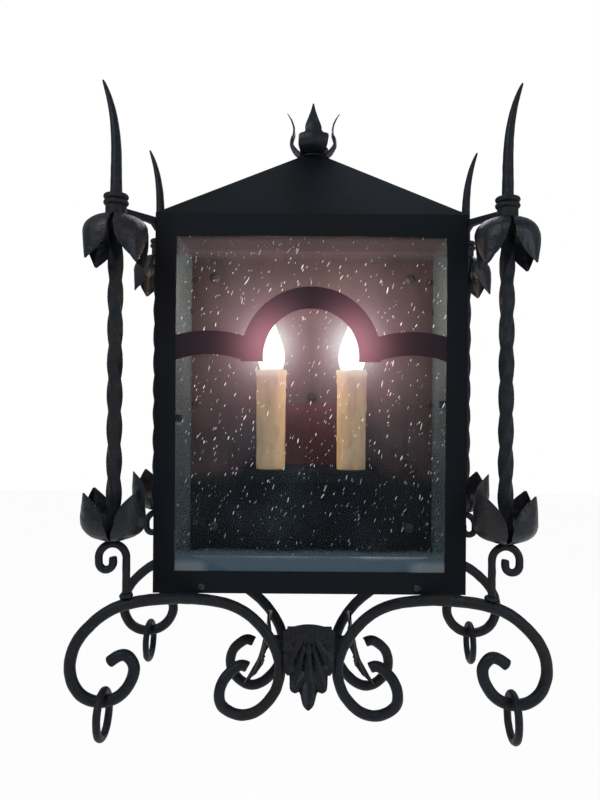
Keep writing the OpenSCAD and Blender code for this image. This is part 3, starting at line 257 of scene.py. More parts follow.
def shell(grid, lengths=None):
    """A closed skin over a grid of rings (rows, around, xyz): quads between rings and a fan at each end.
    Returns vertices, faces and a UV for each vertex: the turn round the ring and the metres along."""
    rows, around = grid.shape[:2]
    ids = np.arange(rows * around).reshape(rows, around)
    quads = quads_between(ids[:-1], ids[1:])
    low, high = np.full(around, rows * around), np.full(around, rows * around + 1)
    fan = np.concatenate([np.stack([low, np.roll(ids[0], -1), ids[0]], -1),
                          np.stack([high, ids[-1], np.roll(ids[-1], -1)], -1)])
    points = np.vstack([grid.reshape(-1, 3), grid[0].mean(0), grid[-1].mean(0)])
    if volume(points, quads) + volume(points, fan) < 0:
        quads, fan = quads[:, ::-1], fan[:, ::-1]
    along = distance(grid.mean(1)) if lengths is None else lengths
    u = np.tile(np.arange(around) / around, (rows, 1))
    v = np.tile(along[:, None] * MM, (1, around))
    uv = np.vstack([np.stack([u, v], -1).reshape(-1, 2), [[0, v[0, 0]], [0, v[-1, 0]]]])
    return points, quads.tolist() + fan.tolist(), uv


def loop_skin(grid, uv):
    """A closed skin over a grid (rows, around, xyz) whose last row joins its first."""
    ids = np.arange(grid[..., 0].size).reshape(grid.shape[:2])
    quads = quads_between(ids, np.roll(ids, -1, 0))
    points = grid.reshape(-1, 3)
    if volume(points, quads) < 0:
        quads = quads[:, [0, 3, 2, 1]]
    return points, quads.tolist(), uv.reshape(-1, 2)


def torus(centre, axis, side, radius, thick):
    """A ring about an axis, counted from one side of it. Thick holds the bar's radius for each angle a
    round the ring and b round the bar: a point lies the ring's radius plus thick cos b out from the
    centre, and thick sin b along the axis."""
    a, b = turns(thick.shape[0])[:, None], turns(thick.shape[1])
    out = np.cos(a)[..., None] * side + np.sin(a)[..., None] * np.cross(axis, side)
    grid = centre + out * (radius + thick * np.cos(b))[..., None] + axis * (thick * np.sin(b))[..., None]
    return loop_skin(grid, np.stack(np.broadcast_arrays(a * radius * MM, b / (2 * np.pi)), -1))


def disc(centre, radii, heights):
    """A turned piece: rings of the given radii at the given heights about an upright axis."""
    a = turns(32)
    r, z = np.asarray(radii, float)[:, None], np.asarray(heights, float)[:, None]
    return np.stack([centre[0] + r * np.cos(a), centre[1] + r * np.sin(a), centre[2] + z + 0 * a], -1)


def with_ends(path):
    """The path with two more points close to each end, so that a bar's end can be rounded."""
    first, last = unit(path[1] - path[0]), unit(path[-2] - path[-1])
    return np.vstack([path[0], path[0] + first * 0.35, path[0] + first * 1.3, path[1:-1],
                      path[-1] + last * 1.3, path[-1] + last * 0.35, path[-1]])


def bar(path, radius, around, seed, dents, cap):
    """A forged bar: rings of the given radius stand square on the path, each carried on from the one
    before with the least turn, and the surface is dented by a ripple. Both ends are slightly rounded
    over the cap's length."""
    tangent = unit(np.gradient(path, axis=0))
    normal = np.empty_like(path)
    first = np.cross(tangent[0], [0, 1, 0])
    if np.linalg.norm(first) < 0.1:
        first = np.cross(tangent[0], [1, 0, 0])
    normal[0] = unit(first)
    for i in range(1, len(path)):
        normal[i] = unit(normal[i - 1] - tangent[i] * np.dot(normal[i - 1], tangent[i]))
    other = np.cross(tangent, normal)
    s, a = distance(path), turns(around)
    mark = ripple(s[:, None], 8 * np.cos(a), 8 * np.sin(a), seed=seed, low=0.12, high=0.55)
    r = np.broadcast_to(radius, len(path))[:, None] + dents * mark * 2.2
    edge = np.minimum(s, s[-1] - s)
    r = r * (1 - 0.22 * np.clip(1 - edge / cap, 0, 1)[:, None] ** 2)
    grid = path[:, None] + r[..., None] * (np.cos(a)[None, :, None] * normal[:, None]
                                           + np.sin(a)[None, :, None] * other[:, None])
    return shell(grid, s)


def sheet(middle, thickness, across, flow):
    """A closed thin skin on a middle surface. middle(s, u) gives points for rows s and positions u from
    -1 to 1. The skin goes out along the surface's normal and comes back behind it: at turn f its place
    across is -cos f, and its distance from the middle is half the thickness times sin f to the power
    0.4, thinned towards the tip."""
    s = np.linspace(0, 1, flow)
    f = 2 * np.pi * (np.arange(2 * across) + 0.5) / (2 * across)
    u = -np.cos(f)
    e = 1e-3
    rows, cols = s[:, None], u[None]
    p = middle(rows, cols)
    ds = middle(np.clip(rows + e, 0, 1), cols) - middle(np.clip(rows - e, 0, 1), cols)
    du = middle(rows, np.clip(cols + e, -1, 1)) - middle(rows, np.clip(cols - e, -1, 1))
    side = np.sign(np.sin(f)) * np.abs(np.sin(f)) ** 0.4
    taper = np.sqrt(np.clip(1 - s, 0.02, 1) ** 0.35)
    grid = p + unit(np.cross(ds, du)) * (0.5 * thickness * side[None] * taper[:, None])[..., None]
    points, faces, uv = shell(grid, distance(p[:, across // 2]))
    uv[:, 0] = np.r_[np.tile((u + 1) / 2, len(s)), 0.5, 0.5]
    return points, faces, uv


# ---------------------------------------------------------------- pieces


def add_piece(name, skins, material, body="lantern", replaces=(), sharp=None, tint=None):
    """Makes one mesh object out of closed skins in millimetres and hangs it on a body of the frame."""
    points, faces, uvs, at = [], [], [], 0
    for p, f, uv in skins:
        points.append(p)
        uvs.append(uv)
        faces += [[i + at for i in q] for q in f]
        at += len(p)
    mesh = bpy.data.meshes.new(name)
    mesh.from_pydata((np.vstack(points) * MM).tolist(), [], faces)
    mesh.update()
    loops = np.empty(len(mesh.loops), np.int32)
    mesh.loops.foreach_get("vertex_index", loops)
    layer = mesh.uv_layers.new(name="UVMap")
    layer.data.foreach_set("uv", np.vstack(uvs)[loops].astype(np.float32).ravel())
    if tint is not None:
        mark = mesh.attributes.new("tint", "FLOAT", "POINT")
        mark.data.foreach_set("value", np.asarray(tint, np.float32))
    mesh.polygons.foreach_set("use_smooth", np.ones(len(mesh.polygons), bool))
    mesh.materials.append(material)
    obj = bpy.data.objects.new(name, mesh)
    bpy.context.scene.collection.objects.link(obj)
    if sharp is not None:
        mesh.set_sharp_from_angle(angle=math.radians(sharp))
    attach(obj, body)
    if replaces:
        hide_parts(*replaces)


def forge(node, skins, finish, sharp=60, body="lantern"):
    """A forged piece that stands for the frame node of the same name."""
    add_piece(f"forged_{node}", skins, finish, body, [node], sharp)


def dress(nodes, material):
    """Gives frame nodes one material."""
    for name in nodes:
        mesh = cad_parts[name].data
        mesh.materials.clear()
        mesh.materials.append(material)


def add_lamp(context, name, kind, place, watts, size, colour):
    """A lamp out of the camera's sight."""
    light = bpy.data.lights.new(name, kind)
    light.energy, light.color = watts, colour
    setattr(light, "size" if kind == "AREA" else "shadow_soft_size", size)
    lamp = bpy.data.objects.new(name, light)
    lamp.location = place
    lamp.visible_camera = False
    context.scene.collection.objects.link(lamp)
    return lamp


# ---------------------------------------------------------------- shader maths


def dim(colour, share):
    """A colour at a share of its strength."""
    return tuple(v * share for v in colour)


class Value:
    """A number that runs through a node tree. Its operators add Math nodes."""

    def __init__(self, nodes, socket):
        self.nodes, self.socket = nodes, socket

    def _math(self, operation, a, b, clamp=False):
        node = self.nodes.add("ShaderNodeMath", {"operation": operation, "use_clamp": clamp},
                              {0: a, 1: b})
        return Value(self.nodes, node.outputs[0])

    def __add__(self, v):
        return self._math("ADD", self, v)

    def __sub__(self, v):
        return self._math("SUBTRACT", self, v)

    def __rsub__(self, v):
        return self._math("SUBTRACT", v, self)

    def __mul__(self, v):
        return self._math("MULTIPLY", self, v)

    def __truediv__(self, v):
        return self._math("DIVIDE", self, v)

    def __pow__(self, v):
        return self._math("POWER", self, v)

    __radd__, __rmul__ = __add__, __mul__

    def held(self):
        """The value held between 0 and 1."""
        return self._math("ADD", self, 0.0, clamp=True)

    def size(self):
        """The value without its sign."""
        return self.larger(self * -1.0)

    def larger(self, v):
        """The greater of this value and another."""
        return self._math("MAXIMUM", self, v)

    def falling(self):
        """e to the power of minus this value."""
        return self._math("POWER", math.e, self * -1.0)

    def ramp(self, low, high):
        """0 at low and 1 at high, smooth between."""
        node = self.nodes.add("ShaderNodeMapRange", {"interpolation_type": "SMOOTHSTEP"},
                              {"Value": self, "From Min": low, "From Max": high})
        return Value(self.nodes, node.outputs["Result"])


class Nodes:
    """A node tree and the one way to add to it."""

    def __init__(self, tree):
        self.tree = tree

    def add(self, kind, settings, sockets):
        """A node of a type, with its settings first and then its sockets' values or links."""
        node = self.tree.nodes.new(kind)
        for key, v in settings.items():
            setattr(node, key, v)
        for key, v in sockets.items():
            self.feed(node.inputs[key], v)
        return node

    def feed(self, socket, v):
        """A value, colour or link into a socket."""
        if isinstance(v, Value):
            v = v.socket
        if isinstance(v, bpy.types.NodeSocket):
            self.tree.links.new(v, socket)
        elif hasattr(v, "__len__") and len(v) == 3 and len(socket.default_value) == 4:
            socket.default_value = (*v, 1)
        else:
            socket.default_value = v

    def value(self, socket):
        """A socket as a value for shader maths."""
        return Value(self, socket)


class Finish(Nodes):
    """One material in the making: a tree with a Principled shader, and ways to add to it."""

    def __init__(self, name):
        self.material = bpy.data.materials.new(name)
        self.material.use_nodes = True
        super().__init__(self.material.node_tree)
        self.shader = self.tree.nodes["Principled BSDF"]
        self.coords = self.add("ShaderNodeTexCoord", {}, {})

    def place(self):
        """The three Object coordinates as values, in metres."""
        node = self.add("ShaderNodeSeparateXYZ", {}, {"Vector": self.coords.outputs["Object"]})
        return tuple(self.value(node.outputs[k]) for k in "XYZ")

    def stretched(self, upright):
        """Object coordinates with their heights scaled, so that a pattern runs upright."""
        node = self.add("ShaderNodeMapping", {}, {"Vector": self.coords.outputs["Object"],
                                                  "Scale": (1, 1, upright)})
        return node.outputs[0]

    def noise(self, scale, detail=4.0, rough=0.55, vector=None):
        """Noise in cells per metre."""
        node = self.add("ShaderNodeTexNoise", {}, {"Vector": vector or self.coords.outputs["Object"],
                                                   "Scale": scale, "Detail": detail, "Roughness": rough})
        return self.value(node.outputs["Fac"])

    def cells(self, scale, vector=None):
        """Distance to the middle of the cell, in cells."""
        node = self.add("ShaderNodeTexVoronoi", {}, {"Vector": vector or self.coords.outputs["Object"],
                                                     "Scale": scale})
        return self.value(node.outputs["Distance"])

    def mix(self, factor, a, b):
        """Colour a where the factor is 0 or less, and b where it is 1 or more."""
        return self.add("ShaderNodeMix", {"data_type": "RGBA"}, {0: factor, 6: a, 7: b}).outputs[2]

    def bump(self, height, depth, strength=1.0, under=None):
        """Relief whose full height is depth metres."""
        sockets = {"Strength": strength, "Distance": depth, "Height": height}
        if under is not None:
            sockets["Normal"] = under
        return self.add("ShaderNodeBump", {}, sockets).outputs[0]

    def set(self, **sockets):
        """Values and links into the shader's own sockets."""
        for key, v in sockets.items():
            self.feed(self.shader.inputs[key.replace("_", " ")], v)
        return self.material


def iron_finish(iron, name, worn=1.0, smoothness=0.44, hammer=1.0, gloss=1.0):
    """Blackened forgings: black with brown patina in broad clouds and cold blue-grey on the scale's
    crests, partly rubbed wear and partly a painted sheen, a fine pitted relief over soft hammer marks,
    and a roughness that follows both."""
    f = Finish(name)
    cloud = f.noise(24.0, 5, 0.6).ramp(0.45, 0.70)
    scale = f.noise(520.0, 6, 0.62)
    marks = f.noise(150.0, 2, 0.45)
    pits = f.cells(230.0)
    base = f.mix(cloud * 0.8 * worn, iron.black, iron.patina)
    rub_and_sheen = (scale.ramp(0.50, 0.70) * marks.ramp(0.40, 0.64) * 0.75 * worn).held()
    colour = f.mix(rub_and_sheen, base, iron.sheen)
    relief = f.bump(marks, 0.0011, 0.55 * hammer)
    relief = f.bump(scale, 0.00026, iron.relief, relief)
    relief = f.bump(pits, 0.0004, 0.28, relief)
    rough = (smoothness + scale * 0.20 + cloud * 0.14 - rub_and_sheen * 0.14).held()
    return f.set(Base_Color=colour, Metallic=0.0, Roughness=rough, Normal=relief,
                 Specular_IOR_Level=iron.gloss * gloss)


def sheet_iron(f, iron):
    """Blackened sheet and frame bar: smoother than the forgings, with long faint rolling marks and thin
    brown clouds. Feeds the shader of a finish."""
    cloud = f.noise(9.0, 5, 0.6).ramp(0.42, 0.70)
    rolled = f.noise(240.0, 3, 0.5, vector=f.stretched(0.05))
    fine = f.noise(700.0, 4, 0.6)
    base = f.mix(cloud * 0.55, iron.black, dim(iron.patina, 0.5))
    # A faint cold grey on the fine crests: partly wear, partly a painted sheen
    colour = f.mix(fine.ramp(0.60, 0.80) * 0.3, base, dim(iron.sheen, 0.7))
    relief = f.bump(rolled, 0.00010, 0.35)
    relief = f.bump(fine, 0.00010, 0.4, relief)
    rough = (0.52 + fine * 0.16 + cloud * 0.10).held()
    return f.set(Base_Color=colour, Metallic=0.0, Roughness=rough, Normal=relief,
                 Specular_IOR_Level=iron.gloss * 0.5)


def frame_finish(iron):
    """The rear frame: blackened outside, and painted warm lamp light on the upper faces that look into
    the housing.
    """
    f = Finish("rear frame iron")
    sheet_iron(f, iron)
    x, y, z = f.place()
    # Painted lamp light: the bulbs' warm light on the inner faces of the frame's upper half
    inside = x.size().ramp(*LAMP_LIT_X) * z.size().ramp(*LAMP_LIT_Z) * y.ramp(*LAMP_LIT_Y)
    cloud = f.noise(16.0, 6, 0.62)
    warm = f.mix(cloud.ramp(0.35, 0.7), (0.078, 0.046, 0.044), (0.105, 0.066, 0.063))
    outside = f.shader.inputs["Base Color"].links[0].from_socket
    return f.set(Base_Color=f.mix(inside * z.ramp(-0.05, 0.05), outside, warm))


def halo(x, z, reach):
    """Light round both bulbs in a plane across the view: e to the power of minus the distance from the
    nearer bulb in units of the reach, squared. It stands a little higher than wide."""
    up = (z - GLARE_Z * MM) / (reach * 1.12)
    across = (x.size() - GLARE_X * MM) / reach
    return (across * across + up * up).falling()


def arch_finish(iron, lamp):
    """The arch bar: sheet iron whose front carries a painted pink glare of the bulbs close behind it, as
    emission.
    """
    f = Finish("arch iron")
    sheet_iron(f, iron)
    x, _, z = f.place()
    # Painted glare: emission round the places of the bulbs
    glare = halo(x, z, 0.031) + halo(x, z, 0.085) * 0.10
    colour = f.mix(glare, BLACK, lamp.halo)
    return f.set(Emission_Color=colour, Emission_Strength=0.42)


def glass_finish(glass, lamp, name, front=False):
    """Drawn seeded glass: clear square on and clouded by its film at a glancing view, with faint upright
    draw lines. The front pane has painted shade along its foot, a dark blue film, with paler painted
    light at both corners, painted warm lamp light along its top, and a painted glare of the bulbs as
    emission."""
    f = Finish(name)
    x, _, z = f.place()
    lines = f.noise(34.0, 3, 0.5, vector=f.stretched(0.12))
    dust = f.noise(14.0, 6, 0.65)
    facing = f.value(f.add("ShaderNodeLayerWeight", {}, {"Blend": 0.42}).outputs["Facing"])
    alpha = facing.ramp(0.34, 0.76) * 0.96 + dust.ramp(0.42, 0.82) * glass.film + 0.03
    haze = f.mix(dust.ramp(0.3, 0.8), glass.haze, dim(glass.haze, 1.6))
    relief = f.bump(lines, 0.0009, 0.6)
    relief = f.bump(f.cells(160.0, vector=f.stretched(0.45)), 0.0004, 0.25, relief)
    lit = {}
    if front:
        # Painted shade along the pane's foot, paler painted light at both corners, painted warm lamp
        # light along its top
        foot = (z + (dust - 0.5) * 0.012).ramp(*FOOT_SHADE)
        edge = z.ramp(*CORNER_LIGHT_Z) * (x.size() + (dust - 0.5) * 0.02).ramp(*CORNER_LIGHT_X)
        painted_top_light = (z + (dust - 0.5) * 0.01).ramp(*TOP_LAMP_LIGHT)
        haze = f.mix(painted_top_light * 0.9, haze, (0.150, 0.098, 0.092))
        haze = f.mix(foot * (1 - edge), haze, (0.012, 0.050, 0.085))
        haze = f.mix(edge * 0.5, haze, (0.15, 0.18, 0.20))
        # Painted glare round the bulbs, fixed on the pane
        light, core = halo(x, z, 0.058), halo(x, z, 0.026)
        alpha = alpha * (1 - light * 0.7) + painted_top_light * 0.42 + foot * 0.87 + light * 0.36 + core * 0.32
        glow = f.mix(core * 1.1, dim(lamp.halo, 0.55), lamp.bulb)
        lit = dict(Emission_Color=f.mix(light, BLACK, glow), Emission_Strength=0.9)
    return f.set(Base_Color=haze, Roughness=0.16, Specular_IOR_Level=0.5, Normal=relief,
                 Alpha=alpha.held(), **lit)


def seed_finish():
    """Air seeds in the glass with painted glints: emission that burns pale near the bulbs and fades to a
    faint cold grey far from them. Each seed's own brightness, which also sets its opacity, is stored on
    its points."""
    f = Finish("glass seeds")
    x, _, z = f.place()
    own = f.value(f.add("ShaderNodeAttribute", {"attribute_name": "tint"}, {}).outputs["Fac"])
    near = halo(x, z, 0.13) + halo(x, z, 0.07)
    # Painted glints of the seeds, strongest near the bulbs
    power = (near * 1.8 + 0.07) * own
    colour = f.mix(near * 0.8, (0.45, 0.55, 0.62), (1.0, 0.74, 0.70))
    colour = f.mix(power, BLACK, colour)
    return f.set(Base_Color=(0.42, 0.48, 0.52), Roughness=0.2, Emission_Color=colour,
                 Emission_Strength=1.0, Alpha=((0.16 + own * 0.34) * (1 + near * 2.0)).held())


def wax_finish(lamp):
    """Candle cover: cream wax with brown grime streaks, waxy runs in relief, and painted light from the
    bulbs
    as emission: brighter towards the top, strongest on its rim and on the side that faces the other
    candle."""
    f = Finish("candle wax")
    x, _, z = f.place()
    top = TRAY_Z + CANDLE_H
    up = z.ramp(TRAY_Z * MM, top * MM)
    grime = f.noise(90.0, 5, 0.6, vector=f.stretched(0.35)).ramp(0.42, 0.75)
    brown = tuple(v * share for v, share in zip(lamp.wax, (0.62, 0.5, 0.36)))
    base = f.mix(grime * 0.55, lamp.wax, brown)
    rim = z.ramp((top - 11) * MM, (top - 3) * MM)
    facing = (CANDLE_X * MM - x.size()).ramp(0.003, 0.017)
    # Painted light from the bulbs: stronger towards the top, on the rim and on the side facing the other
    # candle
    painted_wax_glow = (up ** 2.0 * 0.45 + facing * 0.26 + 0.08) * (1 - grime * 0.35) + rim * 0.75
    colour = f.mix(painted_wax_glow, (0.02, 0.008, 0.002), f.mix(rim, lamp.glow, (1.0, 0.86, 0.52)))
    relief = f.bump(f.noise(150.0, 4, 0.5, vector=f.stretched(0.3)), 0.0008, 0.5)
    return f.set(Base_Color=base, Roughness=(0.42 + grime * 0.2).held(), Normal=relief,
                 Emission_Color=colour, Emission_Strength=0.62, Subsurface_Weight=0.15,
                 Subsurface_Radius=(0.01, 0.005, 0.003))


def bulb_finish(lamp):
    """A lit bulb: white hot over most of its height, with a warmer foot."""
    f = Finish("lit bulb")
    colour = f.mix(f.place()[2].ramp(*BULB_FOOT), lamp.bulb, (1.0, 0.62, 0.30))
    return f.set(Base_Color=(0.9, 0.88, 0.85), Roughness=0.1, Emission_Color=colour,
                 Emission_Strength=4.0)


def primer_finish(name, light, dark, spot, foot=None):
    """Matt primer: cloudy between two shades, with drip stains and a fine tooth. Where a foot colour is
    given, a painted shadow of the tray turns the primer to it below the tray, in a dome that widens
    downwards."""
    f = Finish(name)
    cloud = f.noise(16.0, 6, 0.62)
    stain = f.noise(45.0, 4, 0.6, vector=f.stretched(0.15)).ramp(0.5, 0.8)
    fine = f.noise(520.0, 5, 0.6)
    base = f.mix(cloud.ramp(0.35, 0.7), dark, light)
    base = f.mix(stain * 0.55, base, spot)
    if foot:
        x, y, z = f.place()
        # Painted shadow of the candle tray on the plate's front face, widening outwards as it falls
        painted_tray_shadow = (z + (cloud - 0.5) * 0.05 + x.size() * 0.18).ramp(*TRAY_SHADOW_Z)
        base = f.mix(painted_tray_shadow * y.ramp(*TRAY_SHADOW_Y) * 0.93, base, foot)
    relief = f.bump(fine, 0.0003, 0.5)
    return f.set(Base_Color=base, Roughness=(0.62 + fine * 0.2).held(), Normal=relief,
                 Specular_IOR_Level=0.08)


def plain_finish(name, colour, rough, metallic=0.0, speck=0.25):
    """A small fitting: its colour with darker specks, a fine relief and a roughness that follows it."""
    f = Finish(name)
    fine = f.noise(600.0, 5, 0.6)
    base = f.mix(fine.ramp(0.45, 0.8) * speck, colour, dim(colour, 0.45))
    relief = f.bump(fine, 0.0001, 0.35)
    return f.set(Base_Color=base, Roughness=(rough + fine * 0.15).held(), Metallic=metallic,
                 Normal=relief)


# ---------------------------------------------------------------- shapes


# Points of the scroll's loops as shares of their width and height
OUTER_LOOP = ((-0.11, 0.395), (-0.34, 0.485), (-0.5, 0.355), (-0.43, 0.175), (-0.23, 0.04), (0.08, 0),
              (0.37, 0.095), (0.5, 0.33), (0.39, 0.605), (0.06, 0.835), (-0.22, 0.945))
INNER_LOOP = ((0.3, 0.865), (-0.116, 0.727), (-0.407, 0.539), (-0.5, 0.382), (-0.48, 0.275),
              (-0.39, 0.16), (-0.14, 0.035), (0.15, 0), (0.42, 0.075), (0.5, 0.17), (0.45, 0.28),
              (0.31, 0.355), (0.17, 0.395), (0.05, 0.378))
# Shares of radius, height, half width and hollow from a petal's root to its tip
PETAL = ((0.239, 0, 0.43, 0), (0.42, 0.025, 0.58, 0.22), (0.64, 0.09, 0.82, 0.55), (0.83, 0.21, 1, 0.88),
         (0.93, 0.37, 1.01, 1), (0.96, 0.57, 0.88, 0.95), (0.97, 0.78, 0.58, 0.6), (1, 1, 0.07, 0))
FINIAL = ((0.28, 0, 0.53, 0), (0.5, 0.02, 0.8, 0.15), (0.73, 0.12, 0.96, 0.35), (0.86, 0.24, 1, 0.5),
          (0.86, 0.37, 0.99, 0.5), (0.81, 0.43, 0.62, 0.4), (0.76, 0.56, 0.57, 0.35),
          (0.77, 0.7, 0.4, 0.2), (0.86, 0.86, 0.18, 0.05), (1, 1, 0.04, 0))
# The leaf's outline as shares of half width and height, its ribs' heights over the angle of their fan in
# degrees, and its flare over its height
LEAF_EDGE = ((0, 1), (0.2, 0.95), (0.33, 0.83), (0.5, 0.83), (0.7, 0.79), (0.72, 0.66), (0.84, 0.64),
             (0.94, 0.56), (0.98, 0.34), (1, 0.12))
LEAF_RIBS = ((0, 2.5, 7.5, 8.8, 10, 14, 17, 21.5, 23.5, 25.5, 31, 37, 44, 47, 51, 60, 70, 90),
             (1, 0.85, -0.2, -0.9, -0.2, 0.75, 0.75, -0.2, -0.9, -0.2, 0.7, 0.6, -0.2, -0.7, -0.2, 0.4,
              0.3, 0))
LEAF_CURVE = ((0, 0), (0.15, 0.04), (0.33, 0.09), (0.5, 0.2), (0.66, 0.36), (0.8, 0.58), (0.92, 0.84),
              (1, 1))
# Radius of the spike as a share of the neck's, over its height
SPIKE = ((0, 0.2, 0.38, 0.52, 0.64, 0.75, 0.85, 0.93, 0.98, 1),
         (1, 0.93, 0.86, 0.79, 0.7, 0.61, 0.5, 0.38, 0.26, 0.14))


def scroll_path(lift):
    """The scroll bar of the right front corner: a smooth curve from the outer loop over the crest to the
    inner loop, evened out twice by a running mean of seven neighbours, and in plan a smooth step from the
    post's distance to the inner loops' distance. Lift shortens the outer loop's drop."""
    drop = OUTER_H - lift
    points = [(OUTER_X + a * OUTER_W, CREST - drop + b * drop) for a, b in OUTER_LOOP]
    points += [(POST_X - 18.8, CREST - 1.4), (BOX_W / 2 - 1.5, CREST), (BOX_W / 2 - 26, CREST - 1.7),
               (114.0, FLOOR - SCROLL_R - 0.3)]
    points += [(INNER_X + a * INNER_W, CREST - INNER_H + b * INNER_H) for a, b in INNER_LOOP]
    p = catmull(points, 8)
    weights = (0.06, 0.12, 0.2, 0.24, 0.2, 0.12, 0.06)
    for _ in range(2):
        p[3:-3] = sum(w * p[k:len(p) - 6 + k] for k, w in enumerate(weights))
    near, far = 62.0, POST_X - 6.5
    y = -(INNER_Y + (POST_Y - INNER_Y) * smooth((p[:, 0] - near) / (far - near)))
    return np.stack([p[:, 0], y, p[:, 1]], -1)


def square_form(b, power=6.6):
    """Radius round a square bar with soft corners, 1 at the middle of a face: the absolute cosine and
    sine, each to a power, added, to the power of minus one over it."""
    return (np.abs(np.cos(b)) ** power + np.abs(np.sin(b)) ** power) ** (-1 / power)


def post_grid(dents, seed):
    """The post of the right front corner: a square section that turns a quarter every twist step, then
    blends to a round neck and to a spike that thins and leans outwards by the 2.7th power of its height
    above the bow. The last ring below the twist is a thin round tenon."""
    low, high = LOWER_CUP_Z + PETAL_T, UPPER_CUP_Z - PETAL_T - 5.0
    neck, tip = COLLAR_Z + 13, EAVES + SPIKE_H
    z = np.r_[LOWER_CUP_Z + 0.3, low - 0.01, np.linspace(low, high, 250),
              np.linspace(high + 0.8, high + 3.5, 5), np.linspace(high + 6, neck, 8),
              np.linspace(neck + 2, tip - 1.2, 60), tip - 0.4, tip]
    up = np.clip((z - neck) / (tip - neck), 0, 1)
    round_share = smooth((z - high) / 3.5)
    r = POST_R + (NECK_R - POST_R) * round_share
    r = np.where(up > 0, NECK_R * np.interp(up, *SPIKE), r)
    r[:2] = TENON_R
    a = turns(40)
    b = a[None] - (np.pi / 2 * (np.clip(z, low, high) - low) / TWIST_STEP)[:, None]
    share = np.where(z < low, 1.0, round_share)[:, None]
    r = r[:, None] * (square_form(b) * (1 - share) + share)
    mark = ripple(z[:, None], 7 * np.cos(b), 7 * np.sin(b), seed=seed, low=0.1, high=0.5)
    r = r + 2.0 * dents * mark * (z > low)[:, None] * np.clip(r / 6, 0.2, 1)
    bow = EAVES + 34
    lean = SPIKE_LEAN * np.clip((z - bow) / (tip - bow), 0, 1) ** 2.7
    return np.stack([POST_X + lean[:, None] + r * np.cos(a), -POST_Y + r * np.sin(a),
                     z[:, None] + 0 * a], -1)


def petal_middle(rows, r, h, w, hollow, turn, centre, way, ridge=0.8, curl=1.0, seed=0):
    """The middle surface of a petal as a function of s from root to tip and u across: the rows give
    radius, height, half width and hollow along s by a smooth curve; a point lies at the radius less the
    hollow times u squared, plus a sharp rib along u = 0, fine veins that slant to the rim, a rim that
    turns out a little, and a ripple of hammer marks."""
    table = catmull([(a * r, b * h, c * w / 2, d * hollow) for a, b, c, d in rows], 12)
    at = np.linspace(0, 1, len(table))
    c, q = math.cos(turn), math.sin(turn)

    def middle(s, u):
        rad, z, half, hol = (np.interp(s, at, table[:, k]) for k in range(4))
        body = np.sin(np.pi * np.clip(s * 0.92 + 0.04, 0, 1))
        rib = ridge * body * np.exp(-((u / 0.10) ** 2))
        vein = 0.22 * body * np.cos(26 * (np.abs(u) * 0.55 - s)) * (1 - np.exp(-((u / 0.2) ** 2)))
        rim = curl * body * np.clip(np.abs(u) - 0.72, 0, 1) ** 2 * 7
        mark = 0.35 * ripple(s * h, u * half, seed=seed, low=0.2, high=0.9)
        rho = rad - hol * u**2 + rib + vein + rim + mark * body
        t = u * half * (1 + 0.05 * np.sin(9 * s + 2 * u + seed))
        return np.stack([centre[0] + rho * c - t * q, centre[1] + rho * q + t * c,
                         centre[2] + way * (z + 0 * u)], -1)

    return middle


def cup_skins(k, sx, sy, z, way, bore):
    """One flower cup: four petals, each of its own seeded height and width, on a small disc with a bore.
    The way is 1 where the petals rise and -1 where they hang."""
    skins = []
    for q in range(4):
        seed = 100 + 16 * k + 4 * (way > 0) + q
        rng = np.random.default_rng(seed)
        tall, wide = rng.uniform(0.96, 1.0), rng.uniform(0.95, 1.0)
        mid = petal_middle(PETAL, CUP_R - 1.5, CUP_H * tall, PETAL_W * wide, PETAL_HOLLOW,
                           math.radians(CUP_TURN + 90 * q), (POST_X, -POST_Y, z + way * PETAL_T / 2), way,
                           seed=seed)
        skins.append(sheet(lambda s, u: corner(mid(s, u), sx, sy), PETAL_T, 16, 30))
    hub = disc((POST_X, -POST_Y, z), (bore, bore + 0.1, *HUB_R, bore + 0.1, bore),
               [way * v for v in (0.1, 0, 0, 0.8, 1.7, 1.8, 1.7)])
    return skins + [shell(corner(hub, sx, sy))]


def hook_path():
    """The hook of the right front corner in its upright plane: a straight stem, half a circle over and
    out, half a smaller circle under and back in, and a short straight end."""
    arch_z = LOWER_CUP_Z - 0.3 - HOOK_R - 4.0
    out_x = HOOK_X + 2 * HOOK_R
    curl_x, curl_z = out_x - CURL_R, arch_z - 5.0
    t = np.linspace(0, np.pi, 40)
    stem = [(HOOK_X, z) for z in np.linspace(HOOK_FOOT, arch_z - 1.5, 14)]
    arch = [(HOOK_X + HOOK_R - HOOK_R * math.cos(k), arch_z + HOOK_R * math.sin(k)) for k in t]
    curl = [(curl_x + CURL_R * math.cos(k), curl_z - CURL_R * math.sin(k)) for k in t]
    end = [(curl_x - CURL_R + dx, curl_z + dz) for dx, dz in ((0, 1.6), (0.1, 4.6), (0.3, 5.8))]
    p = np.array(stem + arch + [(out_x, arch_z - 2.5)] + curl + end)
    return np.stack([p[:, 0], np.full(len(p), -POST_Y), p[:, 1]], -1)


def ring_skin(centre, dents, seed):
    """A hanging ring, upright from front to back: a round bar bent to a circle, with a ripple of dents,
    and a forge weld where the bar swells by a bell curve of the angle."""
    a, b = turns(72)[:, None], turns(16)
    mark = ripple(22 * np.cos(a) + 4 * np.cos(b), 22 * np.sin(a), 4 * np.sin(b),
                  seed=seed, low=0.15, high=0.6)
    thick = RING_BAR + 0.28 * np.exp(-((a - RING_WELD) / 0.16) ** 2) + 1.6 * dents * mark
    return torus(centre, np.array([1.0, 0, 0]), np.array([0, 1.0, 0]), RING_R, thick)


def weld_bead(centre, axis, radius, bead, seed):
    """A weld bead: a ring whose bar swells and thins by sines of nine and of four waves round it."""
    axis = unit(np.asarray(axis, float))
    side = unit(np.cross(axis, [0.3, 0.8, 0.52]))
    a = turns(28)[:, None]
    wave = 1 + 0.22 * np.sin(a * 9 + seed) + 0.12 * np.sin(a * 4 + 2.3 * seed)
    return torus(centre, axis, side, radius, bead * wave * np.ones(10))


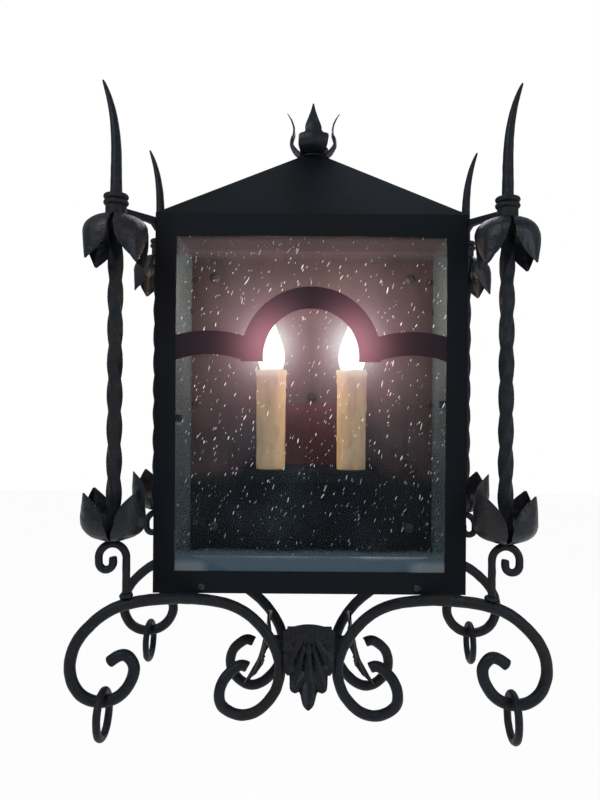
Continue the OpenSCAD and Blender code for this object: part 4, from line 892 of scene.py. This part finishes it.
def leaf_middle(turn, seed):
    """The middle surface of a pendant leaf as a function of s from its top to its lobed edge and u
    across. A point's place across is the edge's at u, and its drop is the edge's times s, below a top
    that sags as the square of u's place. It stands out by the flare at its drop, less three times that
    square, plus ribs that fan out from a point 6 mm below the top, plus a ripple of hammer marks."""
    edge = catmull(LEAF_EDGE, 6)
    edge = np.vstack([edge[:0:-1] * (-1, 1), edge])
    col = np.linspace(-1, 1, len(edge))
    curve = catmull(LEAF_CURVE, 6)
    c, q = math.cos(turn), math.sin(turn)

    def middle(s, u):
        cx, cz = (np.interp(u, col, edge[:, i]) for i in range(2))
        across = cx * (0.98 + 0.02 * s) * LEAF_W / 2
        drop = 0.09 * cx**2 * (1 - s) + cz * s
        mark = 0.3 * ripple(drop * LEAF_H, across, seed=seed, low=0.2, high=0.8)
        below = drop * LEAF_H - 6.0
        fan = np.degrees(np.arctan2(np.abs(across), below))
        rib = 2.6 * np.interp(fan, *LEAF_RIBS) * smooth((np.hypot(across, below) - 3) / 24)
        flare = np.interp(drop, curve[:, 0], curve[:, 1]) * LEAF_FLARE
        rad = LEAF_IN + 1.0 + flare + rib - 3 * cx**2 + mark * np.clip(4 * s, 0, 1)
        return np.stack([rad * c - across * q, PLAN_Y + rad * q + across * c,
                         LEAF_TOP - drop * LEAF_H], -1)

    return middle


def cover_skin(side, drips):
    """One candle cover: a tube whose outer radius has a soft ripple, plus a ridge for each run of wax, a
    bell curve round the tube that ends in a drop, plus a ragged lip. Its top edge rises and falls by a
    second ripple that fades within 22 mm, and its bore is plain."""
    a, z = turns(96), np.linspace(0, CANDLE_H, 110)[:, None]
    rng = np.random.default_rng(400 + side)
    r = CANDLE_D / 2 - 0.35 + 0.25 * ripple(17 * np.cos(a), 17 * np.sin(a), z * 0.5,
                                            seed=401 + side, low=0.08, high=0.4)
    for _ in range(drips):
        at, width = rng.uniform(0, 2 * np.pi), rng.uniform(0.09, 0.2)
        end, thick = CANDLE_H - rng.uniform(12, 100), rng.uniform(0.5, 1.3)
        gap = np.angle(np.exp(1j * (a - at + 0.05 * np.sin(z / 9))))
        ridge = np.exp(-((gap / width) ** 2)) * smooth((z - end) / 4)
        drop = np.exp(-((gap / (width * 1.15)) ** 2) - ((z - end - 4) / 4.5) ** 2)
        r = r + thick * (ridge * 0.55 + drop * 0.75)
    ragged = 1.6 * ripple(12 * np.cos(a), 12 * np.sin(a), seed=405 + side, low=0.1, high=0.5) - 1.2
    lip = 1 + 0.9 * ripple(15 * np.cos(a), 15 * np.sin(a), seed=407 + side, low=0.15, high=0.6)
    r = r + np.clip(lip, 0, 2) * np.exp(-(((z - CANDLE_H + 2.5) / 3.2) ** 2))
    r = np.clip(r, 0, CANDLE_D / 2 + 2.0)
    z = z + ragged * smooth((z - CANDLE_H + 22) / 22)
    outer, bore = (np.stack([side * CANDLE_X + v * np.cos(a), -CANDLE_Y + v * np.sin(a), TRAY_Z + z], -1)
                   for v in (r, np.full_like(r, CANDLE_D / 2 - 2.0)))
    edge = (outer[-1:] + bore[-1:]) / 2 + np.array([0, 0, 0.5])
    grid = np.concatenate([outer, edge, bore[::-1]])
    turn = np.tile(a / (2 * np.pi), (len(grid), 1))
    return loop_skin(grid, np.stack([turn, (grid[..., 2] - TRAY_Z) * MM], -1))


def pane_seeds(name, count, seed, glass):
    """Air seeds of one pane, and a brightness for each of their points. A seed is five rings of six
    points, wide at its belly and narrow at its ends, leaning by its own angle in the pane's plane. Sizes
    follow a gamma curve, so most are small, and length and width grow with the size."""
    lo, hi = np.array(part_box(name)) / MM
    flat = 1 if name == "front_glass" else 0
    wide, way = 1 - flat, 2 * flat - 1
    rng = np.random.default_rng(seed)
    centre = rng.uniform(lo, hi, (count, 3))
    size = rng.gamma(2.2, 0.42, count)
    length = np.clip(0.8 + size * 2.0, 1.0, glass.seed_length)
    width = np.clip(0.45 + 0.4 * size * rng.uniform(0.4, 1.0, count), 0.45, 1.5)
    for axis, rebate in ((2, 8), (wide, 6)):
        centre[:, axis] = np.clip(centre[:, axis], lo[axis] + rebate, hi[axis] - rebate)
    centre[:, flat] = (lo[flat] + hi[flat]) / 2 + rng.uniform(-0.4, 0.4, count)
    tilt = np.tan(rng.normal(glass.seed_lean, 0.14, count))
    level, belly = np.array([-1, -0.62, 0.0, 0.62, 1]), np.array([0.12, 0.78, 1.0, 0.78, 0.12])
    ring = turns(6)
    rows, around = len(level), len(ring)
    each = (slice(None), None, None)
    p = np.zeros((count, rows, around, 3))
    p[..., 2] = length[each] / 2 * level[:, None]
    p[..., wide] = width[each] / 2 * belly[:, None] * np.cos(ring) + p[..., 2] * tilt[each]
    p[..., flat] = np.minimum(width, 0.9)[each] / 2 * belly[:, None] * np.sin(ring)
    points = (p + centre[:, None, None]).reshape(-1, 3)
    ids = np.arange(rows * around).reshape(rows, around)
    first = rows * around * np.arange(count)
    faces = (quads_between(ids[:-1], ids[1:])[:, ::way] + first[each]).reshape(-1, 4).tolist()
    faces += [(end + k).tolist() for k in first for end in (ids[0][::-way], ids[-1][::way])]
    bright = np.repeat(rng.beta(1.2, 2.0, count), rows * around)
    return (points, faces, np.zeros((len(points), 2))), bright


def screw_skin(x0, z0, turn, face, back):
    """A slotted screw head against the back plate: rings that come forward round the rim and over a dome
    that falls with the square of the radius. The slot's depth is e to the power of minus the sixth power
    of the distance from its line."""
    a = turns(72)
    dome = np.linspace(5.7, 0.4, 14)
    reach = np.r_[3.4, 3.4, 6.4, 6.6, 6.5, 6.2, dome][:, None]
    rise = -1.3 - 2.0 * (1 - (dome / 6.2) ** 2)
    out = np.r_[back - face - 0.2, 0.0, 0.0, -0.3, -0.8, -1.3, rise][:, None]
    x, z = reach * np.cos(a), reach * np.sin(a)
    slot = np.exp(-((x * math.cos(turn) + z * math.sin(turn)) / 0.75) ** 6)
    deep = np.where(np.arange(len(out)) > 3, 1.1, 0.0)[:, None]
    return shell(np.stack([x0 + x, face + out + deep * slot, z0 + z], -1))


# ---------------------------------------------------------------- operators


class LANTERN_OT_scrolls(bpy.types.Operator):
    """Makes the four double scroll bars"""

    bl_idname = "lantern.scrolls"
    bl_label = "Scroll bars"

    def execute(self, context):
        iron = context.scene.lantern_iron
        finish = iron_finish(iron, "scroll iron")
        for k, sx, sy, at in CORNERS:
            path = corner(with_ends(scroll_path(REAR_LIFT if sy > 0 else 0.0)), sx, sy)
            forge(f"{at}_scroll", [bar(path, SCROLL_BAR, 20, 11 + k, iron.dents, 1.4)], finish, sharp=50)
        return {"FINISHED"}


class LANTERN_OT_posts(bpy.types.Operator):
    """Makes the four twisted posts with their spikes"""

    bl_idname = "lantern.posts"
    bl_label = "Twisted posts"

    def execute(self, context):
        iron = context.scene.lantern_iron
        finish = iron_finish(iron, "post iron")
        for k, sx, sy, at in CORNERS:
            forge(f"{at}_post", [shell(corner(post_grid(iron.dents, 31 + k), sx, sy))], finish)
        return {"FINISHED"}


class LANTERN_OT_cups(bpy.types.Operator):
    """Makes the eight flower cups, each of four petals on a small disc"""

    bl_idname = "lantern.cups"
    bl_label = "Flower cups"

    def execute(self, context):
        finish = iron_finish(context.scene.lantern_iron, "petal iron", worn=1.15, smoothness=0.30,
                             hammer=1.8, gloss=1.25)
        for k, sx, sy, at in CORNERS:
            forge(f"{at}_upper_cup", cup_skins(k, sx, sy, UPPER_CUP_Z, -1, 6.15), finish)
            forge(f"{at}_lower_cup", cup_skins(k, sx, sy, LOWER_CUP_Z, 1, 2.45), finish)
        return {"FINISHED"}


class LANTERN_OT_hooks(bpy.types.Operator):
    """Makes the four hooks below the flower cups"""

    bl_idname = "lantern.hooks"
    bl_label = "Hooks"

    def execute(self, context):
        iron = context.scene.lantern_iron
        path = hook_path()
        s = distance(path)
        radius = HOOK_BAR + 0.25 * smooth((s - s[-1] + 14) / 14)
        skins = [bar(corner(path, sx, sy), radius, 18, 51 + k, iron.dents, 2.4)
                 for k, sx, sy, at in CORNERS]
        forge("hooks", skins, iron_finish(iron, "hook iron"))
        return {"FINISHED"}


class LANTERN_OT_rings(bpy.types.Operator):
    """Makes the four hanging rings, each closed by a forge weld"""

    bl_idname = "lantern.rings"
    bl_label = "Hanging rings"

    def execute(self, context):
        iron = context.scene.lantern_iron
        finish = iron_finish(iron, "ring iron")
        for k, sx, sy, at in CORNERS:
            name = f"{at}_ring"
            centre = (np.array(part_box(name)) / MM).sum(0) / 2
            forge(name, [ring_skin(centre, iron.dents, 71 + k)], finish, sharp=None, body=f"{name}_body")
        return {"FINISHED"}


class LANTERN_OT_finial(bpy.types.Operator):
    """Makes the four petals of the finial"""

    bl_idname = "lantern.finial"
    bl_label = "Finial petals"

    def execute(self, context):
        finish = iron_finish(context.scene.lantern_iron, "finial iron", smoothness=0.36, gloss=1.3)
        lo, hi = np.array(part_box("finial_petals")) / MM
        tall, reach = hi[2] - lo[2], (hi[0] - lo[0]) / 2
        skins = []
        for q in range(4):
            mid = petal_middle(FINIAL, reach - 0.9, tall - 1.3, 34.0, 5.0, math.radians(90 * q),
                               (0.0, -BOX_D / 2, lo[2] + 0.8), 1, ridge=0.9, curl=0.4, seed=200 + q)
            skins.append(sheet(mid, 1.6, 16, 44))
        skins.append(shell(disc((0.0, -BOX_D / 2, lo[2]), (3.2, 3.3, 10.5, 11.2, 10.8, 3.3, 3.2),
                                (0.1, 0, 0, 0.8, 1.6, 1.7, 1.6))))
        forge("finial_petals", skins, finish)
        return {"FINISHED"}


class LANTERN_OT_pendant(bpy.types.Operator):
    """Makes the three lobed leaves below the housing"""

    bl_idname = "lantern.pendant"
    bl_label = "Pendant leaves"

    def execute(self, context):
        finish = iron_finish(context.scene.lantern_iron, "leaf iron", worn=0.8, smoothness=0.32,
                             gloss=0.9)
        skins = [sheet(leaf_middle(math.radians(turn), 300 + k), 2.0, 90, 60)
                 for k, turn in enumerate((0, 180, 270))]
        forge("pendant_leaves", skins, finish)
        return {"FINISHED"}


class LANTERN_OT_candles(bpy.types.Operator):
    """Makes the two candle covers with their runs of wax, and lights the bulbs"""

    bl_idname = "lantern.candles"
    bl_label = "Candles"

    def execute(self, context):
        lamp = context.scene.lantern_lamp
        finish = wax_finish(lamp)
        for side in (-1, 1):
            name = f"{HAND[side]}_candle_cover"
            add_piece(f"wax_{name}", [cover_skin(side, lamp.drips)], finish, replaces=[name])
        dress(["left_bulb", "right_bulb"], bulb_finish(lamp))
        dress(["left_bulb_base", "right_bulb_base"],
              plain_finish("screw shell", (0.62, 0.54, 0.38), 0.28, 1.0))
        for side in (-1, 1):
            place = side * CANDLE_X * MM, -(CANDLE_Y + 4) * MM, BULB_LIGHT_Z
            add_lamp(context, f"{HAND[side]}_candle_light", "POINT", place, lamp.watts, BULB_LIGHT_R,
                     (1.0, 0.78, 0.60))
        return {"FINISHED"}


class LANTERN_OT_glazing(bpy.types.Operator):
    """Finishes the three panes and puts the air seeds into them"""

    bl_idname = "lantern.glazing"
    bl_label = "Seeded panes"

    def execute(self, context):
        glass, lamp = context.scene.lantern_glass, context.scene.lantern_lamp
        dress(["front_glass"], glass_finish(glass, lamp, "front pane glass", front=True))
        dress(["left_glass", "right_glass"], glass_finish(glass, lamp, "side pane glass"))
        finish = seed_finish()
        for name, count, seed in (("front_glass", glass.seeds, 500), ("left_glass", SIDE_SEEDS, 501),
                                  ("right_glass", SIDE_SEEDS, 502)):
            skin, bright = pane_seeds(name, count, seed, glass)
            add_piece(f"{name}_seeds", [skin], finish, tint=bright)
        return {"FINISHED"}


class LANTERN_OT_housing(bpy.types.Operator):
    """Finishes the frames, roof, plates and small fittings of the frame"""

    bl_idname = "lantern.housing"
    bl_label = "Housing"

    def execute(self, context):
        iron, lamp = context.scene.lantern_iron, context.scene.lantern_lamp
        dress(["rear_frame"], frame_finish(iron))
        dress(["front_frame", "side_rails", "roof", "candle_tray", "frame_lugs", "finial_base"],
              sheet_iron(Finish("frame iron"), iron))
        dress(["arch_bar"], arch_finish(iron, lamp))
        dress(["collars", "top_arms", "pendant_bracket"], iron_finish(iron, "fitting iron"))
        # The back plate's foot colour is the painted shadow of the candle tray
        dress(["back_plate"], primer_finish("brown primer", (0.070, 0.046, 0.047), (0.046, 0.033, 0.036),
                                            (0.022, 0.017, 0.018), foot=(0.005, 0.007, 0.010)))
        dress(["wiring_box"], primer_finish("red primer", (0.085, 0.026, 0.028), (0.058, 0.018, 0.021),
                                            (0.030, 0.012, 0.014)))
        for nodes, name, *finish in FITTINGS:
            dress(nodes, plain_finish(name, *finish))
        return {"FINISHED"}


class LANTERN_OT_screws(bpy.types.Operator):
    """Makes the four slotted wall screws in the corners of the back plate"""

    bl_idname = "lantern.screws"
    bl_label = "Wall screws"

    def execute(self, context):
        lo, hi = np.array(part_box("back_plate")) / MM
        skins = [screw_skin(sx * WALL_X, sz * WALL_Z, turn, lo[1], hi[1])
                 for sx, sz, turn in ((1, 1, 0.5), (-1, 1, 1.9), (1, -1, 2.6), (-1, -1, 0.9))]
        add_piece("wall_screws", skins, plain_finish("painted screw", (0.030, 0.020, 0.020), 0.5),
                  sharp=40)
        return {"FINISHED"}


class LANTERN_OT_welds(bpy.types.Operator):
    """Adds the weld beads at the hooks' feet and under the lower cups"""

    bl_idname = "lantern.welds"
    bl_label = "Weld beads"

    def execute(self, context):
        finish = iron_finish(context.scene.lantern_iron, "weld iron", worn=0.6, smoothness=0.34)
        skins = []
        for k, sx, sy, at in CORNERS:
            foot = corner((HOOK_X, -POST_Y, HOOK_FOOT + 0.5), sx, sy)
            head = corner((POST_X, -POST_Y, LOWER_CUP_Z - 0.5), sx, sy)
            skins.append(weld_bead(foot, (0.10 * sx, 0, 1), 4.6, 2.3, k))
            skins.append(weld_bead(head, (0, 0, 1), 3.4, 1.5, k + 4))
        add_piece("weld_beads", skins, finish)
        return {"FINISHED"}


def white_where_seen(nodes, rays, weight, kind, shader, output):
    """Mixes plain white into a tree's result for the named kinds of ray, by a weight."""
    path = nodes.add("ShaderNodeLightPath", {}, {})
    seen, *more = (nodes.value(path.outputs[f"Is {ray} Ray"]) for ray in rays)
    for ray in more:
        seen = seen.larger(ray)
    white = nodes.add(kind, {}, {"Color": WHITE, "Strength": 1.0})
    both = nodes.add("ShaderNodeMixShader", {},
                     {0: seen * weight, 1: shader.outputs[0], 2: white.outputs[0]})
    nodes.feed(nodes.tree.nodes[output].inputs["Surface"], both.outputs[0])


class LANTERN_OT_stage(bpy.types.Operator):
    """Sets the camera, the pale floor and the studio light"""

    bl_idname = "lantern.stage"
    bl_label = "Stage"

    def execute(self, context):
        scene = context.scene
        stage = scene.lantern_stage
        data = bpy.data.cameras.new("camera")
        data.sensor_width, data.lens, data.shift_x = SENSOR_W, stage.lens, CAMERA_SHIFT
        camera = bpy.data.objects.new("camera", data)
        camera.location = stage.eye
        camera.rotation_euler = (math.radians(90), stage.roll, 0)
        scene.collection.objects.link(camera)
        scene.camera = camera
        scene.view_settings.view_transform = "Standard"

        mesh = bpy.data.meshes.new("floor")
        mesh.from_pydata([(x * FLOOR_REACH, y * FLOOR_REACH, FLOOR_LEVEL)
                          for x, y in ((-1, -1), (1, -1), (1, 1), (-1, 1))], [], [(0, 1, 2, 3)])
        mesh.update()
        floor = bpy.data.objects.new("floor", mesh)
        scene.collection.objects.link(floor)
        f = Finish("pale floor")
        f.set(Base_Color=f.mix(f.noise(60.0, 4), stage.floor, dim(stage.floor, 0.97)), Roughness=0.9)
        white_where_seen(f, ("Camera", "Glossy", "Transmission"), 0.96, "ShaderNodeEmission",
                         f.shader, "Material Output")
        mesh.materials.append(f.material)

        scene.world = bpy.data.worlds.new("studio")
        scene.world.use_nodes = True
        sky = Nodes(scene.world.node_tree)
        soft = sky.tree.nodes["Background"]
        sky.feed(soft.inputs["Color"], (0.90, 0.95, 1.0))
        sky.feed(soft.inputs["Strength"], stage.ambient)
        white_where_seen(sky, ("Camera", "Transmission"), 1.0, "ShaderNodeBackground",
                         soft, "World Output")

        for name, place, size, watts, colour in STUDIO:
            lamp = add_lamp(context, name, "AREA", place, watts, size, colour)
            x, y, z = np.array([0, -0.1, 0]) - np.array(place)
            lift, swing = math.atan2(z, math.hypot(x, y)), math.atan2(y, x)
            lamp.rotation_euler = (math.pi / 2 + lift, 0, swing - math.pi / 2)
        return {"FINISHED"}


PIECES = (LANTERN_OT_stage, LANTERN_OT_housing, LANTERN_OT_scrolls, LANTERN_OT_posts, LANTERN_OT_cups,
          LANTERN_OT_hooks, LANTERN_OT_rings, LANTERN_OT_finial, LANTERN_OT_pendant, LANTERN_OT_candles,
          LANTERN_OT_glazing, LANTERN_OT_welds, LANTERN_OT_screws)
GROUPS = (("lantern_iron", LanternIron), ("lantern_glass", LanternGlass), ("lantern_lamp", LanternLamp),
          ("lantern_stage", LanternStage))


class LANTERN_PT_panel(bpy.types.Panel):
    """Lists the lantern's settings and pieces"""

    bl_label = "Wall lantern"
    bl_idname = "LANTERN_PT_panel"
    bl_space_type = "VIEW_3D"
    bl_region_type = "UI"
    bl_category = "Lantern"

    def draw(self, context):
        for attribute, group in GROUPS:
            box = self.layout.box()
            box.label(text=group.__doc__)
            for key in group.__annotations__:
                box.prop(getattr(context.scene, attribute), key)
        for piece in PIECES:
            self.layout.operator(piece.bl_idname)


def register():
    """Adds the settings and the operators to Blender."""
    for attribute, group in GROUPS:
        bpy.utils.register_class(group)
        setattr(bpy.types.Scene, attribute, PointerProperty(type=group))
    for cls in (*PIECES, LANTERN_PT_panel):
        bpy.utils.register_class(cls)


def unregister():
    """Takes them out again, in reverse."""
    for cls in (LANTERN_PT_panel, *reversed(PIECES)):
        bpy.utils.unregister_class(cls)
    for attribute, group in reversed(GROUPS):
        delattr(bpy.types.Scene, attribute)
        bpy.utils.unregister_class(group)


def main():
    """Registers the add-on and makes every piece in order."""
    register()
    for piece in PIECES:
        group, name = piece.bl_idname.split(".")
        getattr(getattr(bpy.ops, group), name)()


if __name__ == "__main__":
    main()
